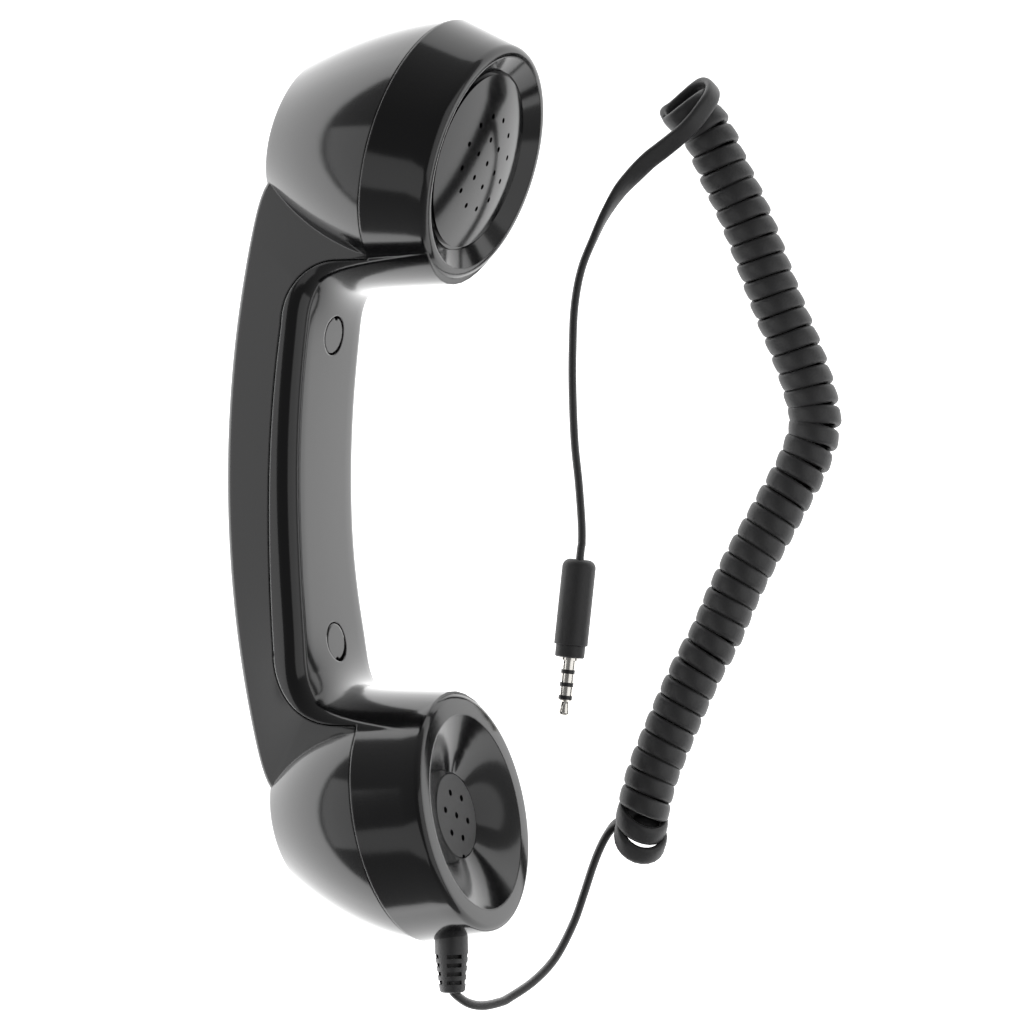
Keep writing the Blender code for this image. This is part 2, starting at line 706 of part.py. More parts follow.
def parting_outline(gap):
    """The outline in the mid-plane that the front shell keeps, moved back by a gap."""
    reach = 3 * EAR.seam_radius
    points = []
    for cup in (EAR, MOUTH):
        side = -1 if cup is EAR else 1
        centre = neck_centre(cup)
        radius = NECK_FILLET[cup.name] + PARTING_DEPTH[cup.name] + gap
        seam = cup.centre - gap * cup.forward
        level = centre.y - side * radius
        along = (level - seam.y) / cup.along.y
        corner = seam + along * cup.along
        outer = seam - side * reach * cup.along
        turn = [Vector((*p, 0)) for p in arc(centre, radius, -side * math.pi / 2, -side * math.pi, 8)]
        points.append([outer, corner] + turn)
    ear, mouth = points
    bow = []
    for i in range(1, 12):
        share = i / 12
        point = ear[-1].lerp(mouth[-1], share)
        bow.append(point - Vector((PARTING_BOW * 4 * share * (1 - share), 0, 0)))
    front = Vector((reach, 0, 0))
    return ear + bow + mouth[::-1] + [mouth[0] + front, ear[0] + front]


def front_region(gap, name, parent):
    half = 2 * EAR.seam_radius
    outline = parting_outline(gap)
    layers = [[p + Vector((0, 0, z)) for p in outline] for z in (-half, half)]
    return cutter(loft(layers), name, parent)


# Screws, their covers and bosses


def cover_place(which):
    """The matrix at a screw cover, with +Z pointing out of the inner face."""
    middle = inner_centre()
    y = COVER_AT[which]
    x = middle.x - math.sqrt(GRIP_INNER_RADIUS**2 - (y - middle.y) ** 2)
    tilt = COVER_TILT[which]
    out = Vector((math.cos(tilt), math.sin(tilt), 0))
    along = Vector((-math.sin(tilt), math.cos(tilt), 0))
    turn = Matrix((along, Vector((0, 0, 1)), out)).transposed()
    return Matrix.Translation((x, y, 0)) @ turn.to_4x4()


def add_front_boss(shell, which, parent):
    """A tube under the inner face that holds the cover and seats the screw's head."""
    place = cover_place(which)
    seat = SCREW_HEAD_DEPTH + SCREW_HEAD_HEIGHT
    boss_radius = COVER_RADIUS + FIT_GAP + BOSS_WALL
    body = cutter(cylinder(boss_radius, -seat - BOSS_WALL, -WALL / 2), which + "_front_boss", parent, place)
    boolean(shell, body, "UNION")
    pocket = COVER_RADIUS + FIT_GAP
    under_cover = -COVER_THICKNESS - SEAT_GAP
    head = SCREW_HEAD_RADIUS + FIT_GAP
    shank = SCREW_SHANK_RADIUS + FIT_GAP
    steps = [(0, OVERCUT), (pocket, OVERCUT), (pocket, under_cover), (head, under_cover)]
    steps += [(head, -seat), (shank, -seat), (shank, -seat - BOSS_WALL - OVERCUT)]
    steps += [(0, -seat - BOSS_WALL - OVERCUT)]
    hole = cutter(turned(steps, SMALL_SIDES), which + "_front_hole", parent, place)
    boolean(shell, hole)


def add_rear_boss(shell, which, parent):
    """A post on the rear shell that the screw bites into."""
    place = cover_place(which)
    top = -SCREW_HEAD_DEPTH - SCREW_HEAD_HEIGHT - BOSS_WALL - FIT_GAP
    bottom = -GRIP_DEPTH + WALL / 2
    radius = SCREW_SHANK_RADIUS + FIT_GAP + 2 * BOSS_WALL
    body = cutter(cylinder(radius, bottom, top), which + "_rear_boss", parent, place)
    boolean(shell, body, "UNION")
    end = -SCREW_HEAD_DEPTH - SCREW_HEAD_HEIGHT - SCREW_LENGTH - FIT_GAP
    hole = cylinder(SCREW_SHANK_RADIUS + FIT_GAP / 2, end, top + OVERCUT / 2, 16)
    boolean(shell, cutter(hole, which + "_rear_hole", parent, place))


def make_screw(which, parent):
    top = -SCREW_HEAD_DEPTH
    seat = top - SCREW_HEAD_HEIGHT + SEAT_GAP
    tip = top - SCREW_HEAD_HEIGHT - SCREW_LENGTH
    rim = SCREW_HEAD_EDGE
    profile = [(0, top), (SCREW_HEAD_RADIUS - rim, top), (SCREW_HEAD_RADIUS, top - rim)]
    profile += [(SCREW_HEAD_RADIUS, seat), (SCREW_SHANK_RADIUS, seat)]
    profile += [(SCREW_SHANK_RADIUS, tip + SCREW_POINT), (SCREW_SHANK_RADIUS / 2, tip), (0, tip)]
    name = which + "_screw"
    screw = object_from(turned(profile, SMALL_SIDES), name, parent, cover_place(which), "zinc_steel")
    boolean(screw, cutter(cross_recess(top), which + "_screw_recess", parent, cover_place(which)))


def cross_recess(top):
    """A cross-shaped driver recess that narrows with its depth."""
    wing, half = RECESS_WING, RECESS_HALF
    arm = [(wing, -half), (wing, half), (half, half)]
    sections = []
    for height, scale in ((top - RECESS_DEPTH, RECESS_TAPER), (top + OVERCUT, 1.0)):
        section = []
        for quarter in range(4):
            turn = Matrix.Rotation(quarter * math.pi / 2, 2)
            section += [turn @ Vector(point) * scale for point in arm]
        sections.append([Vector((*point, height)) for point in section])
    return loft(sections)


def make_cover(which, parent):
    """A flush plastic cap over a screw, with a small notch to pry it out."""
    place = cover_place(which)
    bottom = -COVER_THICKNESS
    profile = [(0, 0), (COVER_RADIUS - COVER_EDGE, 0), (COVER_RADIUS, -COVER_EDGE)]
    profile += [(COVER_RADIUS, bottom), (0, bottom)]
    cover = object_from(turned(profile), which + "_screw_cover", parent, place, "gloss_black_abs")
    outward = 1 if which == "upper" else -1
    centre = Vector((outward * COVER_RADIUS, 0, 0))
    notch = cylinder(COVER_NOTCH, bottom - OVERCUT, OVERCUT, NOTCH_SIDES)
    bmesh.ops.translate(notch, verts=notch.verts, vec=centre)
    boolean(cover, cutter(notch, which + "_cover_notch", parent, place))


# Shells


def opening_cutter(cup, parent):
    bm = cylinder(cup.opening_radius, -cup.lip_depth - OVERCUT / 2, OVERCUT, CUP_SIDES)
    return cutter(bm, cup.name + "_opening", parent, cup.rim())


def relief_place():
    """The matrix at the strain relief's root, with +Z pointing out along the cord."""
    height = RELIEF_HEIGHT_ON_RING
    reach = ring_radius(MOUTH, height) - ring_shift(MOUTH, height)
    root = MOUTH.centre + height * MOUTH.forward - reach * MOUTH.along
    out = Vector((math.sin(RELIEF_TILT), -math.cos(RELIEF_TILT), 0))
    across = Vector((math.cos(RELIEF_TILT), math.sin(RELIEF_TILT), 0))
    turn = Matrix((across, out.cross(across), out)).transposed()
    return Matrix.Translation(root) @ turn.to_4x4()


def relief_notch(parent):
    """The slot in the mouth ring's edge that the strain relief drops into."""
    radius = RELIEF_ROOT_RADIUS + FIT_GAP
    depth = WALL + RELIEF_FLANGE_ROOM + RELIEF_FLANGE
    bm = cylinder(radius, -depth, depth)
    slot = box((-RELIEF_HEIGHT_ON_RING - OVERCUT, -radius, -depth), (0, radius, depth))
    whole = cutter(bm, "relief_notch", parent, relief_place())
    boolean(whole, cutter(slot, "relief_slot", parent, relief_place()), "UNION")
    return whole


def body_solids(prefix, parent):
    """The outside of the body in three overlapping solids, and its hollows."""
    outside = [cutter(cup_outside(cup), prefix + cup.name + "_outside", parent) for cup in (EAR, MOUTH)]
    inside = [cutter(cup_inside(cup), prefix + cup.name + "_inside", parent) for cup in (EAR, MOUTH)]
    inside.append(cutter(grip_inside(), prefix + "grip_inside", parent))
    return outside, inside


def make_front_shell(parent, outside, inside):
    """Both rings and the inner half of the grip, moulded in one piece."""
    shell = object_from(grip_outside(), "front_shell", parent, None, "gloss_black_abs")
    for solid in outside:
        boolean(shell, solid, "UNION")
    for solid in inside:
        boolean(shell, solid)
    boolean(shell, front_region(-FIT_GAP / 2, "front_half", parent), "INTERSECT")
    for cup in (EAR, MOUTH):
        boolean(shell, opening_cutter(cup, parent))
    for which in COVER_AT:
        add_front_boss(shell, which, parent)
    boolean(shell, relief_notch(parent))


def make_rear_shell(parent, outside, inside):
    """Both domes and the outer half of the grip, moulded in one piece."""
    shell = object_from(grip_outside(), "rear_shell", parent, None, "gloss_black_abs")
    for solid in outside:
        boolean(shell, solid, "UNION")
    for solid in inside:
        boolean(shell, solid)
    boolean(shell, front_region(FIT_GAP / 2, "rear_cut", parent))
    for which in COVER_AT:
        add_rear_boss(shell, which, parent)
    for end in (-1, 1):
        boolean(shell, board_post(end, parent), "UNION")


# Earpiece


def hole_pins(counts, rings, radius, turn, low, high):
    """A group of drill-like pins on rings about the axis, for one Boolean."""
    bm = bmesh.new()
    depth = high - low
    for count, ring in zip(counts, rings):
        for i in range(count):
            angle = turn + math.tau * i / count
            spot = Matrix.Translation((ring * math.cos(angle), ring * math.sin(angle), (low + high) / 2))
            bmesh.ops.create_cone(
                bm, cap_ends=True, segments=HOLE_SIDES, radius1=radius, radius2=radius, depth=depth, matrix=spot
            )
    return bm


def cap_dome_radius():
    rise = CAP_DOME_EDGE_DEPTH + CAP_DOME_TOP
    edge = CAP_WALL_FOOT - CAP_GROOVE
    return (edge**2 + rise**2) / (2 * rise)


def cap_dome_height(radius):
    ball = cap_dome_radius()
    return CAP_DOME_TOP - ball + math.sqrt(ball**2 - radius**2)


def make_earpiece_cap(parent):
    """The dished earpiece cap: a sloping wall, a fine groove and a shallow dome with its sound holes."""
    edge = CAP_WALL_FOOT - CAP_GROOVE
    wall_top = EAR.opening_radius - FIT_GAP
    flange = -EAR.lip_depth - SEAT_GAP
    steps = 5
    profile = [(edge * i / steps, cap_dome_height(edge * i / steps)) for i in range(steps + 1)]
    profile += [(edge, -CAP_RECESS - CAP_GROOVE / 2), (CAP_WALL_FOOT, -CAP_RECESS - CAP_GROOVE / 2)]
    profile += [(CAP_WALL_FOOT, -CAP_RECESS), (wall_top - CAP_LIP, -CAP_LIP), (wall_top, -CAP_LIP)]
    flange_radius = EAR.opening_radius + CAP_FLANGE_WIDTH
    profile += [(wall_top, flange), (flange_radius, flange), (flange_radius, flange - CAP_THICKNESS)]
    collar_out = RECEIVER_RADIUS + FIT_GAP + COLLAR_WALL
    collar_in = RECEIVER_RADIUS + FIT_GAP
    collar_end = receiver_top() - BASKET_RIM - BASKET_DEPTH / 2
    profile += [(collar_out, flange - CAP_THICKNESS), (collar_out, collar_end), (collar_in, collar_end)]
    profile += [
        (collar_in * (1 - i / steps), cap_dome_height(collar_in * (1 - i / steps)) - CAP_THICKNESS)
        for i in range(steps + 1)
    ]
    cap = object_from(turned(profile, CUP_SIDES), "earpiece_cap", parent, EAR.rim(), "gloss_black_abs")
    low, high = -CAP_RECESS - 3 * CAP_THICKNESS, OVERCUT
    pins = hole_pins(EAR_HOLE_COUNTS, EAR_HOLE_RINGS, EAR_HOLE_RADIUS, EAR_HOLE_TURN, low, high)
    boolean(cap, cutter(pins, "ear_holes", parent, EAR.rim()))


def receiver_top():
    """Where the receiver's front face lies, behind the cap and its gasket."""
    return cap_dome_height(RECEIVER_RADIUS) - CAP_THICKNESS - GASKET_HEIGHT - 2 * SEAT_GAP


def make_receiver(parent):
    """The moving-coil receiver in the cap's collar, from its gasket back to its yoke."""
    place = EAR.rim()
    front = receiver_top()
    gasket_low = front + SEAT_GAP
    inner = RECEIVER_RADIUS - GASKET_WIDTH
    ring = [(inner, gasket_low), (RECEIVER_RADIUS, gasket_low)]
    ring += [(RECEIVER_RADIUS, gasket_low + GASKET_HEIGHT), (inner, gasket_low + GASKET_HEIGHT)]
    object_from(turned(ring), "receiver_gasket", parent, place, "foam")

    basket_low = front - BASKET_RIM - BASKET_DEPTH
    hole = MAGNET_RADIUS + BASKET_HOLE_CLEARANCE
    basket = [(inner, front), (RECEIVER_RADIUS, front), (RECEIVER_RADIUS, front - BASKET_RIM)]
    basket += [(YOKE_RADIUS, basket_low), (hole, basket_low), (hole, basket_low + BASKET_WALL)]
    basket += [(YOKE_RADIUS, basket_low + BASKET_WALL), (inner, front - BASKET_RIM)]
    object_from(turned(basket), "receiver_frame", parent, place, "matte_black_pvc")

    cone_edge = inner - FIT_GAP
    top = front - FIT_GAP
    skin = CONE_SKIN
    fold = cone_edge - CONE_SURROUND
    coil_radius = MAGNET_RADIUS + COIL_CLEARANCE
    dip = front - BASKET_RIM - CONE_DEPTH
    crest = dip + DUST_CAP_RISE
    cone = [(0, crest), (coil_radius + COIL_WALL, dip), (fold, top - skin), (cone_edge, top)]
    cone += [(cone_edge, top - skin), (fold, top - 2 * skin)]
    cone += [(coil_radius + COIL_WALL, dip - skin), (0, crest - skin)]
    object_from(turned(cone), "receiver_diaphragm", parent, place, "paper_cone")

    coil_top = dip - skin - SEAT_GAP
    coil = [(coil_radius, coil_top - COIL_HEIGHT), (coil_radius + COIL_WALL, coil_top - COIL_HEIGHT)]
    coil += [(coil_radius + COIL_WALL, coil_top), (coil_radius, coil_top)]
    object_from(turned(coil), "receiver_voice_coil", parent, place, "copper_coil")

    yoke_top = basket_low - SEAT_GAP
    yoke_low = yoke_top - YOKE_HEIGHT
    yoke_inside = YOKE_RADIUS - YOKE_WALL
    yoke = [(0, yoke_low), (YOKE_RADIUS, yoke_low), (YOKE_RADIUS, yoke_top), (yoke_inside, yoke_top)]
    yoke += [(yoke_inside, yoke_low + YOKE_WALL), (0, yoke_low + YOKE_WALL)]
    object_from(turned(yoke), "receiver_yoke", parent, place, "zinc_steel")

    magnet_low = yoke_low + YOKE_WALL + SEAT_GAP
    magnet_top = magnet_low + MAGNET_HEIGHT
    magnet = cylinder(MAGNET_RADIUS, magnet_low, magnet_top, TURN_SIDES)
    object_from(magnet, "receiver_magnet", parent, place, "ferrite")
    plate_low = magnet_top + SEAT_GAP
    plate = cylinder(MAGNET_RADIUS, plate_low, plate_low + POLE_HEIGHT, TURN_SIDES)
    object_from(plate, "receiver_pole_plate", parent, place, "zinc_steel")
    return yoke_low


# Mouthpiece


def make_mouthpiece_cup(parent):
    """The funnel of the mouthpiece, with a pocket in its floor for the grille and a collar behind."""
    mouth = MOUTH.opening_radius - FIT_GAP
    flange = -MOUTH.lip_depth - SEAT_GAP
    flange_radius = MOUTH.opening_radius + FUNNEL_FLANGE_WIDTH
    floor = -FUNNEL_DEPTH
    pocket = GRILLE_RADIUS + FIT_GAP / 2
    pocket_floor = floor - GRILLE_THICKNESS - SEAT_GAP
    hole = GRILLE_RADIUS - GRILLE_LEDGE
    boot = CAPSULE_RADIUS + BOOT_WALL + FIT_GAP
    back = pocket_floor - FUNNEL_THICKNESS
    collar_end = back - CAPSULE_HEIGHT
    profile = [(mouth, -CAP_LIP), (pocket, floor), (pocket, pocket_floor), (hole, pocket_floor), (hole, back)]
    profile += [(boot, back), (boot, collar_end), (boot + COLLAR_WALL, collar_end), (boot + COLLAR_WALL, back)]
    profile += [(pocket + FUNNEL_THICKNESS, back), (mouth, flange - FUNNEL_THICKNESS)]
    profile += [(flange_radius, flange - FUNNEL_THICKNESS), (flange_radius, flange), (mouth, flange)]
    object_from(turned(profile, CUP_SIDES), "mouthpiece_cup", parent, MOUTH.rim(), "gloss_black_abs")
    return back


def make_mouthpiece_grille(parent):
    """The flat disc with the speech holes, pressed into the funnel's floor."""
    top = -FUNNEL_DEPTH
    bottom = top - GRILLE_THICKNESS
    edge = GRILLE_EDGE
    profile = [(0, top), (GRILLE_RADIUS - edge, top), (GRILLE_RADIUS, top - edge)]
    profile += [(GRILLE_RADIUS, bottom), (0, bottom)]
    place = MOUTH.rim()
    grille = object_from(turned(profile), "mouthpiece_grille", parent, place, "gloss_black_abs")
    low, high = bottom - OVERCUT / 2, top + OVERCUT / 2
    pins = hole_pins(MOUTH_HOLE_COUNTS, MOUTH_HOLE_RINGS, MOUTH_HOLE_RADIUS, MOUTH_HOLE_TURN, low, high)
    boolean(grille, cutter(pins, "mouth_holes", parent, place))
    notch = cylinder(GRILLE_NOTCH, low, high, NOTCH_SIDES)
    bmesh.ops.translate(notch, verts=notch.verts, vec=(-GRILLE_RADIUS, 0, 0))
    boolean(grille, cutter(notch, "grille_notch", parent, place))


def make_microphone(parent, back):
    """The electret capsule in its rubber boot, held in the collar behind the grille."""
    place = MOUTH.rim()
    boot_radius = CAPSULE_RADIUS + BOOT_WALL
    boot_top = back - SEAT_GAP
    boot_low = boot_top - CAPSULE_HEIGHT
    lip = BOOT_LIP
    inner = CAPSULE_RADIUS + SEAT_GAP
    mouth = CAPSULE_RADIUS - lip
    boot = [(inner, boot_low), (boot_radius, boot_low), (boot_radius, boot_top), (mouth, boot_top)]
    boot += [(mouth, boot_top - lip), (inner, boot_top - lip)]
    object_from(turned(boot), "microphone_boot", parent, place, "matte_black_pvc")
    top = boot_top - lip - SEAT_GAP
    low = top - CAPSULE_HEIGHT
    edge = CAPSULE_EDGE
    capsule = [(0, low), (CAPSULE_RADIUS - edge, low), (CAPSULE_RADIUS, low + edge)]
    capsule += [(CAPSULE_RADIUS, top), (0, top)]
    object_from(turned(capsule), "microphone_capsule", parent, place, "zinc_steel")
    return low


# Board and leads


def board_seat_x():
    """The back face of the board, which stands on two posts of the rear shell."""
    return back_x(BOARD_Y) + WALL + BOARD_POST


def board_post(end, parent):
    y = BOARD_Y + end * (BOARD_SIZE[1] / 2 - BOARD_POST)
    low = (back_x(y) + WALL / 2, y - BOARD_POST / 2, -BOARD_SIZE[2] / 3)
    high = (board_seat_x() - SEAT_GAP, y + BOARD_POST / 2, BOARD_SIZE[2] / 3)
    return cutter(box(low, high), "board_post_%d" % (end + 1), parent)


def make_board(parent):
    """The small joint board where the cord's wires meet those of the receiver and the microphone."""
    x = board_seat_x()
    thickness, length, width = BOARD_SIZE
    low = (x, BOARD_Y - length / 2, -width / 2)
    high = (x + thickness, BOARD_Y + length / 2, width / 2)
    board = object_from(box(low, high), "junction_board", parent, None, "board_green")
    return board


def inner_lead(name, points, parent, finish):
    route = smooth_route(points, 5 * LEAD_RADIUS * 2)
    tube(name, route, LEAD_RADIUS, 1, parent, finish)


def make_inner_leads(parent, yoke_low, capsule_low):
    """Two wires from the board up the grip to the receiver, and two to the microphone."""
    board_x = board_seat_x() + BOARD_SIZE[0] + LEAD_RADIUS + FIT_GAP
    ear_back = yoke_low - LEAD_RADIUS - FIT_GAP
    mouth_back = capsule_low - LEAD_RADIUS - FIT_GAP
    for side, colour in ((1, "red"), (-1, "black")):
        finish = "red_pvc" if colour == "red" else "matte_black_pvc"
        spread = {where: side * across for where, across in LEAD_SPREAD.items()}
        route = [
            (board_x, BOARD_Y + BOARD_SIZE[1] / 9, spread["board"]),
            (board_x, BOARD_Y + BOARD_SIZE[1] * 2 / 3, spread["neck"]),
        ]
        for y in (COVER_AT["lower"], 0, COVER_AT["upper"]):
            route.append((back_x(y) + LEAD_LIFT, y, spread["grip"]))
        route += [
            (back_x(LEAD_NECK_Y) + LEAD_LIFT + WALL, LEAD_NECK_Y, spread["neck"]),
            EAR.rim() @ Vector((-MAGNET_RADIUS, spread["ear"], ear_back - 2 * LEAD_RADIUS)),
            EAR.rim() @ Vector((-LEAD_RADIUS, spread["ear"], ear_back - LEAD_RADIUS)),
        ]
        inner_lead("receiver_lead_" + colour, route, parent, finish)
        route = [
            (board_x, BOARD_Y - BOARD_SIZE[1] / 4, spread["mouth"]),
            (board_x + 2 * LEAD_RADIUS, BOARD_Y - BOARD_SIZE[1] / 2, spread["mouth"]),
            MOUTH.rim() @ Vector((CAPSULE_RADIUS, spread["mouth"], mouth_back - 2 * LEAD_RADIUS)),
            MOUTH.rim() @ Vector((0, spread["mouth"], mouth_back)),
        ]
        inner_lead("microphone_lead_" + colour, route, parent, finish)


# Strain relief


def make_strain_relief(parent):
    """The moulded strain relief: a flange inside the ring, a collar in its notch and a slotted tail."""
    place = relief_place()
    inside = -WALL - RELIEF_FLANGE_ROOM
    flange_radius = RELIEF_ROOT_RADIUS + RELIEF_FLANGE_WIDTH
    root, tip, edge = RELIEF_ROOT_RADIUS, RELIEF_TIP_RADIUS, RELIEF_EDGE
    profile = [(0, inside - RELIEF_FLANGE), (flange_radius, inside - RELIEF_FLANGE), (flange_radius, inside)]
    profile += [(root, inside), (root, RELIEF_COLLAR), (tip, RELIEF_LENGTH - edge)]
    profile += [(tip - edge, RELIEF_LENGTH), (0, RELIEF_LENGTH)]
    relief = object_from(turned(profile, SMALL_SIDES), "strain_relief", parent, place, "matte_black_pvc")
    wide = root + OVERCUT
    core = half = tip * RELIEF_CORE
    for row in range(RELIEF_ROWS):
        low = RELIEF_COLLAR + RELIEF_FIRST_SLOT + row * RELIEF_PITCH
        high = low + RELIEF_SLOT
        for side in (-1, 1):
            ends = sorted((side * core, side * wide))
            window = box((-half, ends[0], low), (half, ends[1], high))
            boolean(relief, cutter(window, "relief_window_%d_%d" % (row, side), parent, place))
            if row < RELIEF_ROWS - 1:
                lift = RELIEF_PITCH / 2
                scallop = box((ends[0], -half, low + lift), (ends[1], half, high + lift))
                boolean(relief, cutter(scallop, "relief_scallop_%d_%d" % (row, side), parent, place))


# Cord and plug


def plug_place():
    start, end = (Vector((*p, PLUG_RADIUS)) for p in (PLUG_START, PLUG_END))
    out = (end - start).normalized()
    across = Vector((0, 0, 1)).cross(out)
    turn = Matrix((across, out.cross(across), out)).transposed()
    return Matrix.Translation(start) @ turn.to_4x4()


def plug_piece(name, profile, parent, finish, low):
    """One turned piece of the plug, and the height of its far end."""
    top = max(height for _, height in profile)
    raised = [(radius, height + low) for radius, height in profile]
    object_from(turned(raised, SMALL_SIDES), name, parent, plug_place(), finish)
    return low + top + SEAT_GAP


def drum(radius, length, edge=0.0):
    """The outline of a plain disc or barrel with a small edge round."""
    if not edge:
        return [(0, 0), (radius, 0), (radius, length), (0, length)]
    rounded = [(radius - edge, 0), (radius, edge), (radius, length - edge), (radius - edge, length)]
    return [(0, 0)] + rounded + [(0, length)]


def make_plug(parent):
    """The plug: a matte barrel and collar, then four contacts parted by three insulators."""
    shoulder = PLUG_SHOULDER
    body = [(0, 0)]
    body += [(r, h) for r, h in arc((PLUG_RADIUS - shoulder, shoulder), shoulder, -math.pi / 2, 0, 4)]
    body += [(PLUG_RADIUS, PLUG_LENGTH - PLUG_EDGE), (PLUG_RADIUS - PLUG_EDGE, PLUG_LENGTH), (0, PLUG_LENGTH)]
    low = plug_piece("plug_body", body, parent, "matte_black_pvc", 0.0)
    collar = drum(PLUG_COLLAR_RADIUS, PLUG_COLLAR_LENGTH, PLUG_COLLAR_EDGE)
    low = plug_piece("plug_collar", collar, parent, "matte_black_pvc", low)
    sleeve = [(0, 0), (PLUG_FLANGE_RADIUS, 0), (PLUG_FLANGE_RADIUS, PLUG_FLANGE_LENGTH)]
    sleeve += [(CONTACT_RADIUS, PLUG_FLANGE_LENGTH)]
    end = PLUG_FLANGE_LENGTH + SLEEVE_LENGTH
    sleeve += [(CONTACT_RADIUS, end), (0, end)]
    low = plug_piece("plug_sleeve", sleeve, parent, "nickel_plate", low)
    band = drum(BAND_RADIUS, BAND_LENGTH)
    ring = drum(CONTACT_RADIUS, RING_LENGTH)
    for piece in (2, 1):
        low = plug_piece("plug_insulator_%d" % (piece + 1), band, parent, "matte_black_pvc", low)
        low = plug_piece("plug_ring_%d" % piece, ring, parent, "nickel_plate", low)
    low = plug_piece("plug_insulator_1", band, parent, "matte_black_pvc", low)
    end = TIP_LENGTH
    tip = [(0, 0), (CONTACT_RADIUS, 0), (CONTACT_RADIUS, end * 0.06), (TIP_WAIST, end * 0.23)]
    tip += [(TIP_WAIST, end * 0.31), (TIP_BULGE, end * 0.6), (TIP_BULGE, end * 0.72)]
    tip += [(TIP_BULGE * 0.45, end * 0.96), (TIP_BULGE * 0.2, end), (0, end)]
    plug_piece("plug_tip", tip, parent, "nickel_plate", low)


def make_cord(handset, table):
    """A loose lead from the handset, the coil as its outer cylinder, and the lead to the plug."""
    exit_place = handset.matrix_world @ relief_place()
    start = exit_place @ Vector((0, 0, RELIEF_LENGTH + FIT_GAP))
    beyond = exit_place @ Vector((0, 0, RELIEF_LENGTH + OVERCUT))
    under = table.matrix_world.translation
    coil = smooth_route([(x, y, COIL_RADIUS) for x, y in COIL_AXIS], COIL_SPACING)
    tube("curly_cord", coil, COIL_RADIUS, 3, table, "matte_black_pvc")
    tails = []
    for end, inner in ((coil[0], coil[1]), (coil[-1], coil[-2])):
        out = (end - inner).normalized()
        tails.append((end + COIL_TAIL * out, end + FIT_GAP * out))
    lead = [start - under] + smooth_route([beyond - under, *HANDSET_LEAD], LEAD_SPACING)
    tube("handset_lead", lead + list(tails[0]), CORD_RADIUS, 2, table, "matte_black_pvc")
    lead = smooth_route([tails[1][0], *PLUG_LEAD], LEAD_SPACING)
    tube("plug_lead", [tails[1][1]] + lead, CORD_RADIUS, 2, table, "matte_black_pvc")


# Placing on the table


def lowest(obj_names, roll, pitch):
    """Lowest point of some sub-parts for a roll about Y and a pitch about X, both about the origin."""
    turn = Matrix.Rotation(pitch, 3, "X") @ Matrix.Rotation(-roll, 3, "Y")
    graph = bpy.context.evaluated_depsgraph_get()
    points = []
    for name in obj_names:
        evaluated = bpy.data.objects[name].evaluated_get(graph)
        mesh = evaluated.to_mesh()
        world = evaluated.matrix_world
        points += [turn @ (world @ vert.co) for vert in mesh.vertices]
        evaluated.to_mesh_clear()
    return points


def lay_on_table(parent, shells):
    """Rolls the handset onto its domes, levels it so that both touch, and stands it over the origin."""
    pitch = 0.0
    for _ in range(8):
        points = lowest(shells, ROLL, pitch)
        ear = min((p for p in points if p.y > 0), key=lambda p: p.z)
        mouth = min((p for p in points if p.y < 0), key=lambda p: p.z)
        pitch -= math.atan2(ear.z - mouth.z, ear.y - mouth.y)
    points = lowest(shells, ROLL, pitch)
    low = Vector([min(p[i] for p in points) for i in range(3)])
    high = Vector([max(p[i] for p in points) for i in range(3)])
    middle = (low + high) / 2
    turn = Matrix.Rotation(pitch, 4, "X") @ Matrix.Rotation(-ROLL, 4, "Y")
    parent.matrix_world = Matrix.Translation((-middle.x, -middle.y, -low.z)) @ turn


def settle_booleans():
    """Keeps each cut shape as a plain mesh with smooth shading and sharp edges, and drops the helpers."""
    graph = bpy.context.evaluated_depsgraph_get()
    cut = [obj for obj in bpy.data.objects if obj.type == "MESH" and obj.modifiers and not obj.hide_render]
    meshes = [bpy.data.meshes.new_from_object(obj.evaluated_get(graph), depsgraph=graph) for obj in cut]
    for obj, mesh in zip(cut, meshes):
        finish = obj.data.materials[0]
        obj.modifiers.clear()
        obj.data = mesh
        mesh.materials.clear()
        mesh.materials.append(finish)
        mesh.shade_smooth()
        mesh.set_sharp_from_angle(angle=math.radians(35))
    for obj in [obj for obj in bpy.data.objects if obj.hide_render]:
        bpy.data.objects.remove(obj, do_unlink=True)


def main():
    clear_scene()
    handset = bpy.data.objects.new("handset_frame", None)
    bpy.context.scene.collection.objects.link(handset)
    outside, inside = body_solids("body_", handset)
    make_front_shell(handset, outside, inside)
    make_rear_shell(handset, outside, inside)
    for which in COVER_AT:
        make_cover(which, handset)
        make_screw(which, handset)
    make_earpiece_cap(handset)
    yoke_low = make_receiver(handset)
    back = make_mouthpiece_cup(handset)
    make_mouthpiece_grille(handset)
    capsule_low = make_microphone(handset, back)
    make_board(handset)
    make_inner_leads(handset, yoke_low, capsule_low)
    make_strain_relief(handset)
    bpy.context.view_layer.update()
    settle_booleans()
    lay_on_table(handset, ("front_shell", "rear_shell"))
    bpy.context.view_layer.update()
    table = bpy.data.objects.new("table_frame", None)
    bpy.context.scene.collection.objects.link(table)
    table.location = (handset.matrix_world.translation.x, handset.matrix_world.translation.y, 0)
    bpy.context.view_layer.update()
    make_cord(handset, table)
    make_plug(table)
    bpy.context.view_layer.update()


main()
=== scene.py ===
"""A gloss black telephone handset with a curly cord and a slim audio plug, lying on a white table.

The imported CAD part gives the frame. The moulded shells, the cups and the plug are made again here with finer
shapes, the flat cord is made as one ribbon from the handset to the plug, and every part gets its finish.
"""

import json
import math

import bmesh
import bpy
from bpy.props import FloatProperty, IntProperty, PointerProperty
from mathutils import Matrix, Vector


